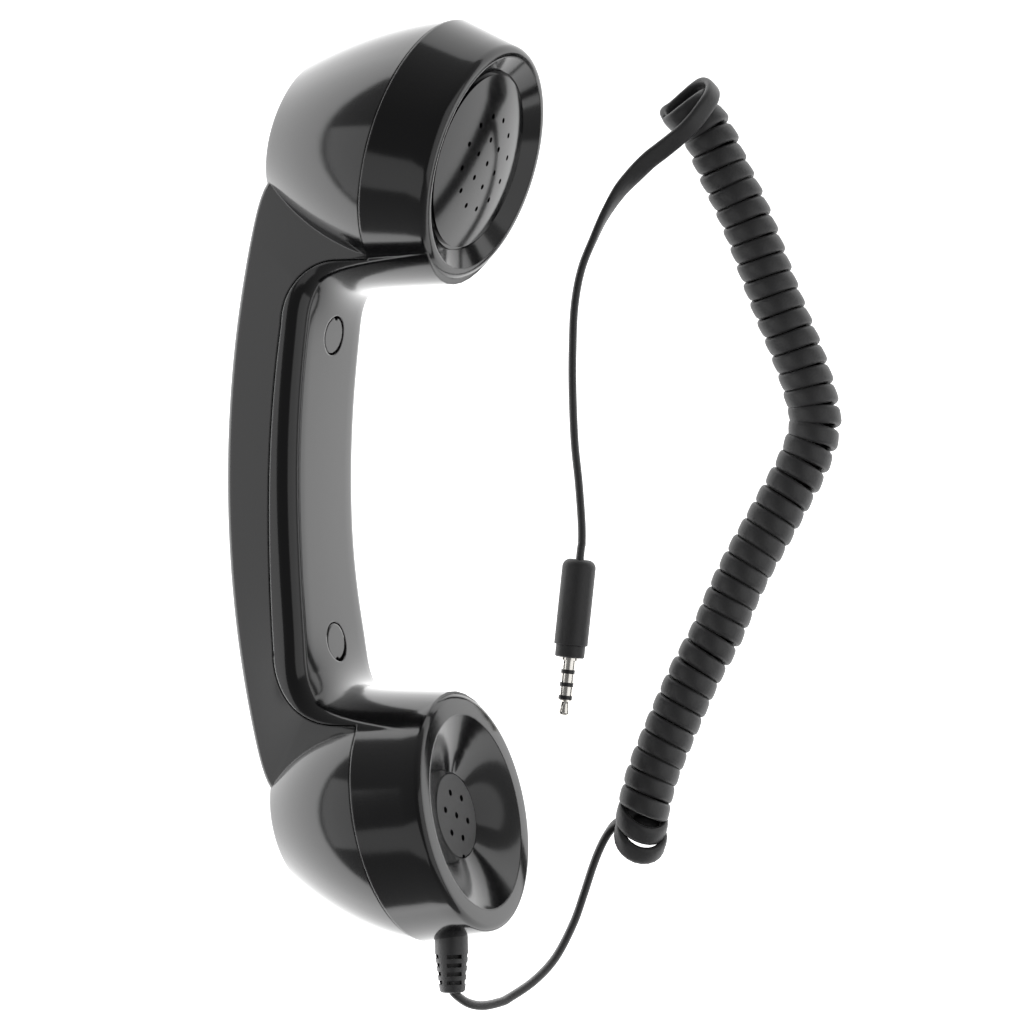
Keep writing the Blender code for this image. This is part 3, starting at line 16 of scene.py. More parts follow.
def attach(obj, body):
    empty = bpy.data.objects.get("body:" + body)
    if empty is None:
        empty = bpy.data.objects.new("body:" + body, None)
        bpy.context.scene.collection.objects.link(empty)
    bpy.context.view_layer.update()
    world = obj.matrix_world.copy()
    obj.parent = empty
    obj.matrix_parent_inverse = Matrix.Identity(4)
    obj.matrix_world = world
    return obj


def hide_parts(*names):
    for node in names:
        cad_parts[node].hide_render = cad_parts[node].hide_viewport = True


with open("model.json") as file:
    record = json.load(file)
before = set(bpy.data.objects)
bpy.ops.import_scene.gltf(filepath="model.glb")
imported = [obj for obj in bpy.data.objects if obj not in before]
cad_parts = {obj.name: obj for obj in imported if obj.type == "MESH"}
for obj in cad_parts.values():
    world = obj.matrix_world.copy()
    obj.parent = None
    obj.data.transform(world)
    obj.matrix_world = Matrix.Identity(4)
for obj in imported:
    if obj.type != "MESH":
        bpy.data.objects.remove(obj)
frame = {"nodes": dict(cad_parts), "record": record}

bl_info = {
    "name": "Telephone handset",
    "version": (1, 0, 0),
    "blender": (4, 5, 0),
    "location": "View3D > Sidebar > Handset",
    "description": "Builds a gloss black telephone handset with its curly cord and plug",
    "category": "Add Mesh",
}

MM = 0.001
UP = Vector((0, 0, 1))

# The handset's own frame in the row's frame: it lies rolled onto the flanks of its domes, a hair lower at the ear
HANDSET = Matrix(
    (
        (0.906308, 0.0, -0.422618, 0.010135778),
        (0.000722, 0.999999, 0.001549, -0.00024965),
        (0.422618, -0.001709, 0.906307, 0.033240877),
        (0.0, 0.0, 0.0, 1.0),
    )
)

# Body: the grip's faces are arcs in its mid-plane, and each neck turns the inner face into a ring's round side
WALL = 2.2 * MM
GAP = 0.3 * MM  # between the shells, and round the covers, the relief and the speech disc
GRIP_DEPTH = 18.8 * MM
GRIP_HALF_WIDTH = 17.0 * MM
GRIP_INNER_X = -27.5 * MM
GRIP_MIDDLE_Y = 0.9 * MM
GRIP_INNER_RADIUS = 260.0 * MM
GRIP_BACK_RADIUS = 265.0 * MM
GRIP_FRONT_EDGE = 4.4 * MM
GRIP_BACK_EDGE = 2.5 * MM
GRIP_CROWN = 0.8 * MM  # bulge of the back
GRIP_DRAFT = 0.8 * MM  # by which the back is narrower on each side
NECK_MERGE = 15.0 * MM  # half the width at which a neck has sunk into the ring
NECK_SINK = 0.3 * MM
NECK_NARROWING = 1.6 * MM
NECK_EDGE = 0.8 * MM
NECK_RUN_IN = 8.0 * MM  # how far the back of a neck reaches past the cup's centre
NECK_PASSES = 30  # rounds of averaging over the sections
MOUTH_FLARE = 3.6 * MM  # by which the inner face widens toward the mouthpiece
FLARE_LENGTH = 42.0 * MM
PARTING_BOW = 2.6 * MM
RIM_EDGE = 1.5 * MM
FIT = 0.03 * MM  # clearance of the cap and the funnel in their openings
INSET_DROP = 0.08 * MM  # by which their edges lie under the rims
TOOL_REACH = 2.0 * MM  # by which a cutting helper stands proud of what it cuts
OPENING_TURN = 0.011  # radians that keep the opening's facets off the ring's, for a clean cut

# Screw covers
COVER_RADIUS = 4.45 * MM
COVER_THICKNESS = 1.5 * MM
COVER_EDGE = 0.25 * MM
COVER_NOTCH = 0.8 * MM
COVER_AT = {"upper": 35.0 * MM, "lower": -38.0 * MM}
COVER_TILT = {"upper": math.radians(-10.0), "lower": math.radians(5.0)}

# Earpiece cap and mouthpiece funnel, measured from the plane of the rim
CAP_WALL_FOOT = 21.7 * MM
CAP_RECESS = 2.6 * MM
CAP_GROOVE = 0.8 * MM
CAP_DOME_EDGE_DEPTH = 2.1 * MM
CAP_DOME_TOP = 0.1 * MM
CAP_THICKNESS = 1.6 * MM
CAP_DOME_THICKNESS = 2.6 * MM
EAR_HOLE_RADIUS = 0.65 * MM
EAR_HOLE_RINGS = ((1, 0.0), (6, 5.7 * MM), (12, 11.2 * MM))
EAR_HOLE_TURN = math.radians(11.0)
FUNNEL_DEPTH = 5.2 * MM
GRILLE_RADIUS = 10.0 * MM
GRILLE_THICKNESS = 1.4 * MM
GRILLE_EDGE = 0.15 * MM
GRILLE_NOTCH = 0.7 * MM
FUNNEL_WALL = 1.6 * MM
MOUTH_HOLE_RADIUS = 0.78 * MM
MOUTH_HOLE_RINGS = ((1, 0.0), (6, 5.6 * MM))
MOUTH_HOLE_TURN = math.radians(13.0)

# Strain relief
RELIEF_HEIGHT_ON_RING = 5.1 * MM
RELIEF_LENGTH = 12.7 * MM
RELIEF_COLLAR = 3.6 * MM
RELIEF_ROOT_DEPTH = 4.5 * MM
RELIEF_ROOT_RADIUS = 3.95 * MM
RELIEF_TIP_RADIUS = 3.05 * MM
RELIEF_EDGE = 0.6 * MM
RELIEF_ROWS = 4
RELIEF_PITCH = 2.05 * MM
RELIEF_SLOT = 1.0 * MM
RELIEF_CORE = 0.6 * RELIEF_TIP_RADIUS
RELIEF_SLOT_HALF = 0.58 * RELIEF_TIP_RADIUS
RELIEF_TILT = math.radians(1.4)
RELIEF_SLOT_TURN = math.radians(36.0)

# Cord: points of its centreline in the row's frame; the coil's axis has one point for every two turns
LEAD_FROM_HANDSET = (
    (17.4, -121.6, 35.2),
    (19.2, -122.9, 34.0),
    (21.2, -123.7, 32.4),
    (23.5, -124.0, 30.4),
    (26.4, -123.7, 27.8),
    (29.0, -122.9, 25.2),
    (35.1, -119.4, 19.4),
    (40.3, -114.4, 13.6),
    (44.6, -106.8, 8.6),
    (47.1, -100.2, 5.9),
    (49.3, -93.7, 4.2),
    (51.1, -89.2, 3.4),
    (53.0, -85.7, 2.7),
    (55.1, -83.4, 2.2),
    (57.7, -83.2, 2.3),
)
COIL_AXIS = (
    (60.8, -87.6),
    (61.5, -80.1),
    (63.7, -71.2),
    (67.0, -62.8),
    (70.7, -54.1),
    (74.6, -45.6),
    (79.3, -36.9),
    (82.9, -28.4),
    (86.9, -20.1),
    (91.3, -12.2),
    (95.8, -4.0),
    (100.5, 4.9),
    (103.2, 14.0),
    (101.6, 22.9),
    (98.6, 31.9),
    (95.0, 40.8),
    (91.7, 49.6),
    (88.5, 58.6),
    (84.9, 67.5),
    (80.9, 75.9),
    (77.1, 84.8),
    (71.6, 91.6),
)
END_LOOP = (
    (67.3, 88.9, 3.8),
    (69.3, 90.6, 1.8),
    (72.3, 93.3, 1.3),
    (74.8, 95.4, 2.2),
    (76.8, 96.4, 4.8),
    (78.2, 95.4, 8.4),
    (77.9, 92.9, 11.9),
    (76.0, 89.8, 14.0),
    (73.6, 86.6, 14.6),
    (71.3, 84.2, 14.2),
)
LEAD_TO_PLUG = (
    (68.8, 82.1, 13.2),
    (65.8, 79.8, 11.6),
    (62.6, 77.4, 9.8),
    (58.8, 73.7, 7.7),
    (55.7, 70.2, 5.9),
    (52.3, 64.8, 4.3),
    (49.8, 59.6, 3.2),
    (46.7, 51.9, 2.5),
    (45.0, 42.9, 2.3),
    (44.5, 32.1, 2.2),
    (44.5, 22.1, 2.2),
    (45.0, 9.7, 2.2),
    (46.0, -0.3, 2.3),
    (46.7, -10.2, 2.9),
    (46.7, -15.4, 3.7),
)
CORD_STEP = 0.8 * MM
CORD_IN_RELIEF = (-2.5 * MM, -0.4 * MM)
CORD_IN_PLUG = (-3.0 * MM, 0.9 * MM)

# The coil's turns lean ever more along it; the first ones tip over and the last ones widen into the end loop
COIL_LEAN = math.radians(2.0)
COIL_LEAN_GAIN = math.radians(8.0)
FIRST_LEAN = math.radians(-10.0)
FIRST_LEAN_TURNS = 4.0
FIRST_TIP = math.radians(56.0)
FIRST_TIP_TURNS = (0.5, 2.3)
FIRST_TWIST = 0.45
LAST_LEAN = math.radians(-5.0)
LAST_GROWTH = 0.1
LAST_TURNS = 1.5

# How the ribbon turns about its own centreline, as shares of a lead or as steps of the route
COIL_TWIST_FROM = 0.86
LOOP_TWIST_STEPS = 8
LEAD_TWIST_STEPS = 12
EDGE_UP_SHARE = 0.36
RIBBON_SQUARENESS = (0.62, 0.8)

# Plug: a barrel and a collar, then contacts parted by insulators, along a line on the table
PLUG_START = (46.236, -18.85)
PLUG_END = (42.236, -56.85)
PLUG_HEIGHT = 4.0 * MM
PLUG_RADIUS = 4.1 * MM
PLUG_ROUND = 2.0 * MM
PLUG_EDGE = 0.15 * MM
PLUG_LENGTH = 20.9 * MM
COLLAR_RADIUS = 3.6 * MM
COLLAR_LENGTH = 3.0 * MM
COLLAR_EDGE = 0.3 * MM
FLANGE_RADIUS = 2.3 * MM
FLANGE_LENGTH = 0.6 * MM
CONTACT_RADIUS = 1.75 * MM
SLEEVE_LENGTH = 2.9 * MM
RING_LENGTH = 2.15 * MM
INSULATOR_RADIUS = 1.7 * MM
INSULATOR_LENGTH = 0.9 * MM
PLUG_JOINT = 0.05 * MM
PLUG_TIP = (
    (0, 0), (1.75, 0), (1.75, 0.2), (1.35, 0.45), (1.18, 0.8), (1.1, 1.3), (1.14, 1.9),
    (1.28, 2.5), (1.42, 3.0), (1.4, 3.4), (1.12, 3.8), (0.6, 4.03), (0, 4.1),
)

# Stage, in metres; each soft box has its azimuth from +X, its angle from straight up, its size and its share of light
TABLE_HALF = 2.5
TABLE_WHITE = (0.82, 0.82, 0.82, 1)
TABLE_GLOW_FROM, TABLE_GLOW_TO = -0.06, 0.03
TABLE_GLOW_LEFT = 2.0
HORIZON_GLOW = 2.6
ROOM_TOP = 0.9
BOX_DISTANCE = 1.1
SOFT_BOXES = (
    ("left_soft_box", 183.0, 65.0, (1.05, 0.84), 1.2),
    ("near_soft_box", 225.0, 36.0, (0.7, 0.46), 0.8),
    ("right_soft_box", 355.0, 50.0, (1.15, 1.15), 0.9),
)
CAMERA_SPOT = (0.029756, -0.00735, 1.0)
CAMERA_LENS = 144.14
CAMERA_SENSOR = 36.0


def placed(origin, across, up, out):
    """The matrix that puts X, Y and Z along three directions at a point."""
    return Matrix.Translation(origin) @ Matrix((across, up, out)).transposed().to_4x4()


class Cup:
    """One of the two cups: a tapered ring in front of the seam and a dome behind it."""

    def __init__(self, name, centre, toe, **sizes):
        self.name = name
        self.centre = Vector((*centre, 0))
        self.forward = Vector((math.cos(toe), math.sin(toe), 0))
        self.along = Vector((-math.sin(toe), math.cos(toe), 0))
        self.side = -1 if name == "ear" else 1
        for key, value in sizes.items():
            setattr(self, key, value)

    def place(self, height=0.0, shift=0.0):
        """The cup's own frame: Z along its axis from the seam, X along the seam in the mid-plane."""
        origin = self.centre + height * self.forward + shift * self.along
        return placed(origin, self.along, UP, self.forward)

    def rim(self):
        return self.place(self.ring_height, self.rim_shift)

    def ring_radius(self, height):
        return self.seam_radius + (self.rim_radius - self.seam_radius) * height / self.ring_height

    def ring_shift(self, height):
        return self.rim_shift * height / self.ring_height

    def dome_radius(self, depth):
        """The dome's radius below the seam: a slope that bends ever more, down to the back."""
        start = self.seam_radius - self.seam_step
        slope = math.tan(self.dome_start)
        corner = self.dome_depth - self.dome_sag
        bend = (start - slope * corner - self.dome_back_radius) / corner**2
        return start - slope * depth - bend * depth**2

    def dome_slope(self, depth):
        """The angle between the dome's side and its axis."""
        step = 0.01 * MM
        return math.atan((self.dome_radius(depth) - self.dome_radius(depth + step)) / step)


EAR = Cup(
    "ear",
    (0.0, 78.0 * MM),
    math.radians(-17.0),
    seam_radius=31.9 * MM,
    rim_radius=28.0 * MM,
    ring_height=15.5 * MM,
    rim_shift=1.1 * MM,
    seam_step=0.3 * MM,
    dome_depth=34.07 * MM,
    dome_sag=1.5 * MM,
    dome_back_radius=18.75 * MM,
    dome_start=math.radians(8.8),
    dome_lean=-0.152,
    dome_edge=2.2 * MM,
    opening_radius=25.5 * MM,
    lip_depth=3.0 * MM,
    bore_radius=26.6 * MM,
    neck_fillet=9.0 * MM,
    neck_stand=1.4 * MM,
    parting_depth=5.6 * MM,
)
MOUTH = Cup(
    "mouth",
    (-4.8 * MM, -79.0 * MM),
    math.radians(11.0),
    seam_radius=29.8 * MM,
    rim_radius=28.2 * MM,
    ring_height=17.2 * MM,
    rim_shift=-1.7 * MM,
    seam_step=0.3 * MM,
    dome_depth=29.5 * MM,
    dome_sag=0.8 * MM,
    dome_back_radius=16.3 * MM,
    dome_start=math.radians(7.0),
    dome_lean=0.144,
    dome_edge=3.4 * MM,
    opening_radius=23.0 * MM,
    lip_depth=3.0 * MM,
    bore_radius=25.8 * MM,
    neck_fillet=9.5 * MM,
    neck_stand=0.5 * MM,
    parting_depth=7.6 * MM,
)


# Materials

GLOSS_BLACK = ("#0c0c0d", "#111112")
GLOSS_ROUGHNESS = (0.1, 0.14)


def linear(code):
    """A colour written as sRGB hex, as linear values."""
    parts = [int(code[i : i + 2], 16) / 255 for i in (1, 3, 5)]
    return (*[c / 12.92 if c <= 0.04045 else ((c + 0.055) / 1.055) ** 2.4 for c in parts], 1.0)


def add_node(tree, kind, values=(), links=(), **settings):
    """A new node with its settings, the values of its sockets and the links into them."""
    node = tree.nodes.new(kind)
    for key, value in settings.items():
        setattr(node, key, value)
    for socket, value in values:
        node.inputs[socket].default_value = value
    for socket, source in links:
        tree.links.new(source, node.inputs[socket])
    return node


def finish_material(name, colours, roughness, grain, bump, metallic=0.0, edge=0.0, sheen=0.0):
    """A material whose colour, roughness and fine relief all vary with the object's own coordinates."""
    found = bpy.data.materials.get(name)
    if found:
        return found
    made = bpy.data.materials.new(name)
    made.use_nodes = True
    tree = made.node_tree
    shader = tree.nodes["Principled BSDF"]
    shader.inputs["Metallic"].default_value = metallic
    shader.inputs["IOR"].default_value = 1.5
    shader.inputs["Sheen Weight"].default_value = sheen
    shader.inputs["Sheen Roughness"].default_value = 0.3
    spot = add_node(tree, "ShaderNodeTexCoord").outputs["Object"]
    broad = add_node(tree, "ShaderNodeTexNoise", [("Scale", grain / 12), ("Detail", 3.0)], [("Vector", spot)])
    fine = add_node(tree, "ShaderNodeTexNoise", [("Scale", grain), ("Detail", 5.0)], [("Vector", spot)])
    tint = add_node(tree, "ShaderNodeMix", data_type="RGBA")
    tint.inputs["A"].default_value = linear(colours[0])
    tint.inputs["B"].default_value = linear(colours[1])
    tree.links.new(broad.outputs["Fac"], tint.inputs["Factor"])
    tree.links.new(tint.outputs["Result"], shader.inputs["Base Color"])
    dull = add_node(tree, "ShaderNodeMapRange", [("To Min", roughness[0]), ("To Max", roughness[1])])
    tree.links.new(fine.outputs["Fac"], dull.inputs["Value"])
    tree.links.new(dull.outputs["Result"], shader.inputs["Roughness"])
    relief = add_node(tree, "ShaderNodeBump", [("Strength", bump[0]), ("Distance", bump[1])])
    tree.links.new(fine.outputs["Fac"], relief.inputs["Height"])
    if edge:
        rounded = add_node(tree, "ShaderNodeBevel", [("Radius", edge)], samples=6)
        tree.links.new(rounded.outputs["Normal"], relief.inputs["Normal"])
    tree.links.new(relief.outputs["Normal"], shader.inputs["Normal"])
    return made


def gloss_abs():
    """Moulded gloss ABS: near black, with the faint waviness of a polished mould."""
    return finish_material("moulded_gloss_abs", GLOSS_BLACK, GLOSS_ROUGHNESS, 260, (0.04, 0.0002), edge=0.0006)


def inset_abs():
    """The same gloss ABS on the insets, which meet the rims edge to edge."""
    return finish_material("polished_abs_inset", GLOSS_BLACK, GLOSS_ROUGHNESS, 260, (0.04, 0.0002))


def dull_abs():
    """The same ABS with the fine texture of the speech disc."""
    return finish_material("textured_abs", ("#0e0e0f", "#141415"), (0.36, 0.46), 2400, (0.2, 0.0002))


def cord_rubber():
    """Soft PVC cord jacket: dark grey, matte, with a fine extruded grain."""
    greys = ("#262627", "#2e2e2f")
    return finish_material("soft_pvc_jacket", greys, (0.42, 0.52), 1800, (0.25, 0.0002), sheen=0.12)


def plug_rubber():
    """Moulded soft PVC of the plug's barrel and collar."""
    greys = ("#232324", "#2b2b2c")
    return finish_material("moulded_soft_pvc", greys, (0.45, 0.58), 2600, (0.3, 0.0002), edge=0.0002)


def plug_plastic():
    """Hard black nylon of the plug's insulating bands."""
    return finish_material("black_nylon", ("#18181a", "#202022"), (0.3, 0.4), 2000, (0.15, 0.0001))


def contact_metal():
    """Nickel plate on turned brass, with fine turning marks."""
    greys = ("#e0ddd7", "#eeebe5")
    return finish_material("nickel_plate", greys, (0.14, 0.26), 900, (0.1, 0.00005), metallic=1.0)


# Finishes of the parts inside: name, colours, roughness, grain, relief and metallic share
INNER = {
    "steel": ("zinc_plated_steel", ("#a6a9ad", "#8f9296"), (0.3, 0.42), 700, (0.15, 0.0001), 1.0),
    "foam": ("foam_rubber", ("#1c1c1c", "#2a2a2a"), (0.85, 0.95), 3000, (0.8, 0.0006), 0.0),
    "inner_plastic": ("plain_black_abs", ("#161617", "#1e1e1f"), (0.4, 0.5), 1200, (0.2, 0.0002), 0.0),
    "cone": ("pressed_paper_cone", ("#3a342e", "#4a433a"), (0.75, 0.85), 2200, (0.5, 0.0003), 0.0),
    "copper": ("enamelled_copper_wire", ("#b4602f", "#8e4520"), (0.25, 0.4), 1500, (0.3, 0.0002), 1.0),
    "magnet": ("pressed_ferrite", ("#2f2f31", "#3c3c3e"), (0.55, 0.7), 900, (0.4, 0.0003), 0.0),
    "capsule": ("drawn_aluminium", ("#c2c3c6", "#aeafb3"), (0.25, 0.35), 800, (0.1, 0.0001), 1.0),
    "boot": ("soft_rubber_boot", ("#1a1a1a", "#242424"), (0.6, 0.75), 1600, (0.3, 0.0002), 0.0),
    "red_wire": ("red_pvc_insulation", ("#a81c18", "#8e1512"), (0.35, 0.45), 1500, (0.1, 0.0001), 0.0),
    "black_wire": ("black_pvc_insulation", ("#18181a", "#222224"), (0.35, 0.45), 1500, (0.1, 0.0001), 0.0),
    "board": ("green_laminate", ("#1d5a30", "#17482a"), (0.35, 0.5), 1400, (0.2, 0.0001), 0.0),
}
SLOTS = {
    "gloss_body": gloss_abs,
    "cord_rubber": cord_rubber,
    "plug_rubber": plug_rubber,
    "plug_plastic": plug_plastic,
    "contact": contact_metal,
}


def slot_material(slot):
    """The material of one of the record's slots."""
    if slot in SLOTS:
        return SLOTS[slot]()
    name, colours, roughness, grain, bump, metallic = INNER[slot]
    return finish_material(name, colours, roughness, grain, bump, metallic)


# Shapes


def object_from(bm, name, place=None):
    """An object at the origin, with its place in its mesh."""
    if place is not None:
        bmesh.ops.transform(bm, matrix=place, verts=bm.verts)
    bmesh.ops.recalc_face_normals(bm, faces=bm.faces)
    mesh = bpy.data.meshes.new(name)
    bm.to_mesh(mesh)
    bm.free()
    obj = bpy.data.objects.new(name, mesh)
    bpy.context.scene.collection.objects.link(obj)
    return obj


def combine(obj, other, operation="DIFFERENCE"):
    """Adds a boolean modifier, which settle() applies."""
    modifier = obj.modifiers.new(other.name, "BOOLEAN")
    modifier.operation = operation
    modifier.solver = "EXACT"
    modifier.object = other


def settle(obj, helpers=()):
    """Applies the object's modifiers to its mesh and removes the helpers."""
    graph = bpy.context.evaluated_depsgraph_get()
    mesh = bpy.data.meshes.new_from_object(obj.evaluated_get(graph), depsgraph=graph)
    mesh.name = obj.name
    obj.modifiers.clear()
    obj.data = mesh
    for helper in helpers:
        bpy.data.objects.remove(helper, do_unlink=True)


def piece(obj, slot, *nodes, angle=35.0, finish=None):
    """Smooth shading with sharp edges, the slot's own material or another, and the CAD nodes it stands for."""
    obj.data.materials.clear()
    obj.data.materials.append(finish or slot_material(slot))
    obj.data.shade_smooth()
    obj.data.set_sharp_from_angle(angle=math.radians(angle))
    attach(obj, "root")
    if nodes:
        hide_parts(*nodes)
    return obj


def arc(centre, radius, start, end, steps):
    """Points on a circle in a plane, from one angle to another, both ends included."""
    return [
        (centre[0] + radius * math.cos(angle), centre[1] + radius * math.sin(angle))
        for angle in (start + (end - start) * i / steps for i in range(steps + 1))
    ]


def turned(profile, sides):
    """A solid of revolution about Z from a closed outline of (radius, height) points."""
    bm = bmesh.new()
    verts = [bm.verts.new((radius, 0, height)) for radius, height in profile]
    pairs = [(verts[i - 1], verts[i]) for i in range(len(verts))]
    edges = [bm.edges.new(pair) for pair in pairs if pair[0].co.x > 0 or pair[1].co.x > 0]
    bmesh.ops.spin(
        bm, geom=verts + edges, cent=(0, 0, 0), axis=(0, 0, 1), angle=math.tau, steps=sides, use_merge=True
    )
    bmesh.ops.remove_doubles(bm, verts=bm.verts, dist=1e-7)
    bmesh.ops.dissolve_degenerate(bm, edges=bm.edges, dist=1e-7)
    return bm


def loft(sections):
    """A closed solid: an outline extruded again and again, each time onto the next section."""
    bm = bmesh.new()
    ring = [bm.verts.new(point) for point in sections[0]]
    ends = [bm.faces.new(ring)]
    for section in sections[1:]:
        edges = [bm.edges.get((ring[i - 1], vert)) for i, vert in enumerate(ring)]
        made = bmesh.ops.extrude_edge_only(bm, edges=edges)["geom"]
        new = {v for v in made if isinstance(v, bmesh.types.BMVert)}
        ring = [next(e.other_vert(v) for e in v.link_edges if e.other_vert(v) in new) for v in ring]
        for vert, point in zip(ring, section):
            vert.co = point
    ends.append(bm.faces.new(ring))
    bmesh.ops.triangulate(bm, faces=ends)
    return bm


def box(low, high):
    """A block between two opposite corners."""
    bm = bmesh.new()
    size = Vector(high) - Vector(low)
    middle = (Vector(high) + Vector(low)) / 2
    bmesh.ops.create_cube(bm, size=1.0, matrix=Matrix.Translation(middle) @ Matrix.Diagonal((*size, 1)))
    return bm


def pins(rings, radius, turn, low, high, sides=24):
    """A group of drill-like pins on rings about the axis."""
    bm = bmesh.new()
    for count, ring in rings:
        for i in range(count):
            angle = turn + math.tau * i / count
            spot = Matrix.Translation((ring * math.cos(angle), ring * math.sin(angle), (low + high) / 2))
            bmesh.ops.create_cone(
                bm, cap_ends=True, segments=sides, radius1=radius, radius2=radius, depth=high - low, matrix=spot
            )
    return bm


def cylinder(radius, low, high, sides):
    """A plain round helper about Z."""
    return pins(((1, 0.0),), radius, 0.0, low, high, sides)


# Body


def sheared(bm, cup):
    """Leans the ring's and the dome's sections sideways, as the cup's two shifts say."""
    for vert in bm.verts:
        z = vert.co.z
        vert.co.x += cup.ring_shift(z) if z > 0 else -cup.dome_lean * z
    return bm


def dome_profile(cup, inset, steps, edge_steps):
    """The dome's outline from the seam: its bending side, a round edge, and a back that bulges to the pole."""
    depth, edge = cup.dome_depth - cup.dome_sag - inset, max(cup.dome_edge - inset / 2, 0.8 * MM)
    slope = cup.dome_slope(depth - edge)
    straight = depth - edge * (1 - math.sin(slope))
    depths = [straight * i / steps for i in range(steps + 1)]
    points = [(cup.dome_radius(down) - inset, -down) for down in depths]
    centre = points[-1][0] - edge * math.cos(slope)
    for i in range(1, edge_steps + 1):
        angle = slope + (math.pi / 2 - slope) * i / edge_steps
        points.append((centre + edge * math.cos(angle), -(depth - edge + edge * math.sin(angle))))
    for i in range(1, 9):
        share = 1 - i / 8
        points.append((centre * share, -(depth + cup.dome_sag * (1 - share**2))))
    return points


def cup_outside(cup, sides):
    """The cup's solid form: the flat rim with its round edge, the tapered ring and the dome."""
    top = cup.ring_height
    profile = [(0, top)]
    for i in range(7):
        angle = math.pi / 2 * (1 - i / 6)
        height = top - RIM_EDGE * (1 - math.sin(angle))
        profile.append((cup.ring_radius(height) - RIM_EDGE * (1 - math.cos(angle)), height))
    profile += [(cup.ring_radius(top * share), top * share) for share in (0.7, 0.45, 0.2, 0.0)]
    return sheared(turned(profile + dome_profile(cup, 0.0, 24, 10), sides), cup)


def cup_inside(cup):
    """The hollow under the lip of the rim, one wall inside the dome."""
    under_lip = cup.ring_height - cup.lip_depth
    profile = [(0, under_lip), (cup.bore_radius, under_lip)]
    return sheared(turned(profile + dome_profile(cup, WALL, 6, 4), 64), cup)


def inner_centre():
    """Centre of the arc of the grip's inner face."""
    return Vector((GRIP_INNER_X + GRIP_INNER_RADIUS, GRIP_MIDDLE_Y, 0))


def wall_point(cup, height):
    """A point in the mid-plane just proud of the ring's wall that faces the other cup."""
    reach = cup.ring_shift(height) + cup.side * (cup.ring_radius(height) + cup.neck_stand)
    return cup.centre + height * cup.forward + reach * cup.along


def neck_centre(cup):
    """Centre of the fillet that turns the inner face of the grip into the ring's side."""
    y = wall_point(cup, 0.0).y + cup.side * cup.neck_fillet
    reach = GRIP_INNER_RADIUS - cup.neck_fillet
    middle = inner_centre()
    return Vector((middle.x - math.sqrt(reach**2 - (y - middle.y) ** 2), y, 0))


def neck_points(cup, steps):
    """Points of a neck's inner outline: down the ring's side, then round the fillet to the grip."""
    centre = neck_centre(cup)
    middle = inner_centre()
    end = math.atan2(centre.y - middle.y, centre.x - middle.x)
    end = end if cup.side < 0 else end - math.tau if end > 0 else end
    turn = [Vector((*p, 0)) for p in arc(centre, cup.neck_fillet, -cup.side * math.pi / 2, end, steps)]
    heights = (cup.ring_height - RIM_EDGE / 2, cup.ring_height / 2, 0.0)
    return [wall_point(cup, height) for height in heights] + turn


def back_x(y):
    """Where the arc of the grip's back lies at a height along the handset."""
    reach = GRIP_BACK_RADIUS
    return GRIP_INNER_X - GRIP_DEPTH + reach - math.sqrt(reach**2 - (y - GRIP_MIDDLE_Y) ** 2)


def neck_pairs(cup, fronts, start_y):
    """The stations of one neck, whose backs swing from the grip's back into the cup."""
    end_y = cup.centre.y - cup.side * NECK_RUN_IN
    turns = len(fronts) - 3
    backs = [end_y + (start_y - end_y) * i / (turns - 1) for i in range(turns)]
    backs = [Vector((back_x(y), y, 0)) for y in backs]
    rim = fronts[0] - cup.side * cup.rim_radius / 2 * cup.along
    inner = [rim, rim.lerp(backs[0], 0.4), rim.lerp(backs[0], 0.75)]
    return list(zip(fronts, inner + backs))


def grip_stations(neck_steps, arc_steps):
    """Pairs of points, one on the inner outline and one on the back, from the ear end to the mouth end."""
    ear, mouth = neck_points(EAR, neck_steps), neck_points(MOUTH, neck_steps)
    middle = inner_centre()
    first, last = ear[-1] - middle, mouth[-1] - middle
    turn_from = math.atan2(first.y, first.x) % math.tau
    turn_to = math.atan2(last.y, last.x) % math.tau
    long_arc = [Vector((*p, 0)) for p in arc(middle, GRIP_INNER_RADIUS, turn_from, turn_to, arc_steps)]
    scale = (GRIP_INNER_RADIUS + GRIP_DEPTH) / GRIP_INNER_RADIUS
    arc_from, arc_to = middle.y + first.y * scale, middle.y + last.y * scale
    grip = [arc_from + (arc_to - arc_from) * i / arc_steps for i in range(arc_steps + 1)]
    pairs = list(zip(long_arc, [Vector((back_x(y), y, 0)) for y in grip]))
    return neck_pairs(EAR, ear, arc_from) + pairs[1:-1] + neck_pairs(MOUTH, mouth, arc_to)[::-1]


def grip_half_width(y):
    """Half the width of the inner face, which flares toward the mouthpiece."""
    share = (wall_point(MOUTH, 0.0).y + FLARE_LENGTH - y) / FLARE_LENGTH
    return GRIP_HALF_WIDTH + MOUTH_FLARE * min(max(share, 0.0), 1.0) ** 2


def round_drop(cup, across):
    """How far the ring's round side falls away at a distance from the mid-plane."""
    return cup.seam_radius - math.sqrt(cup.seam_radius**2 - across**2)


def ring_blend(front):
    """How far the inner face has turned into a ring's round side, from 0 on the grip to 1 at the ring."""
    cup = EAR if front.y > GRIP_MIDDLE_Y else MOUTH
    start = neck_centre(cup).x - cup.neck_fillet
    share = (front.x - start) / (wall_point(cup, 0.0).x - start)
    return cup, min(max(share, 0.0), 1.0)


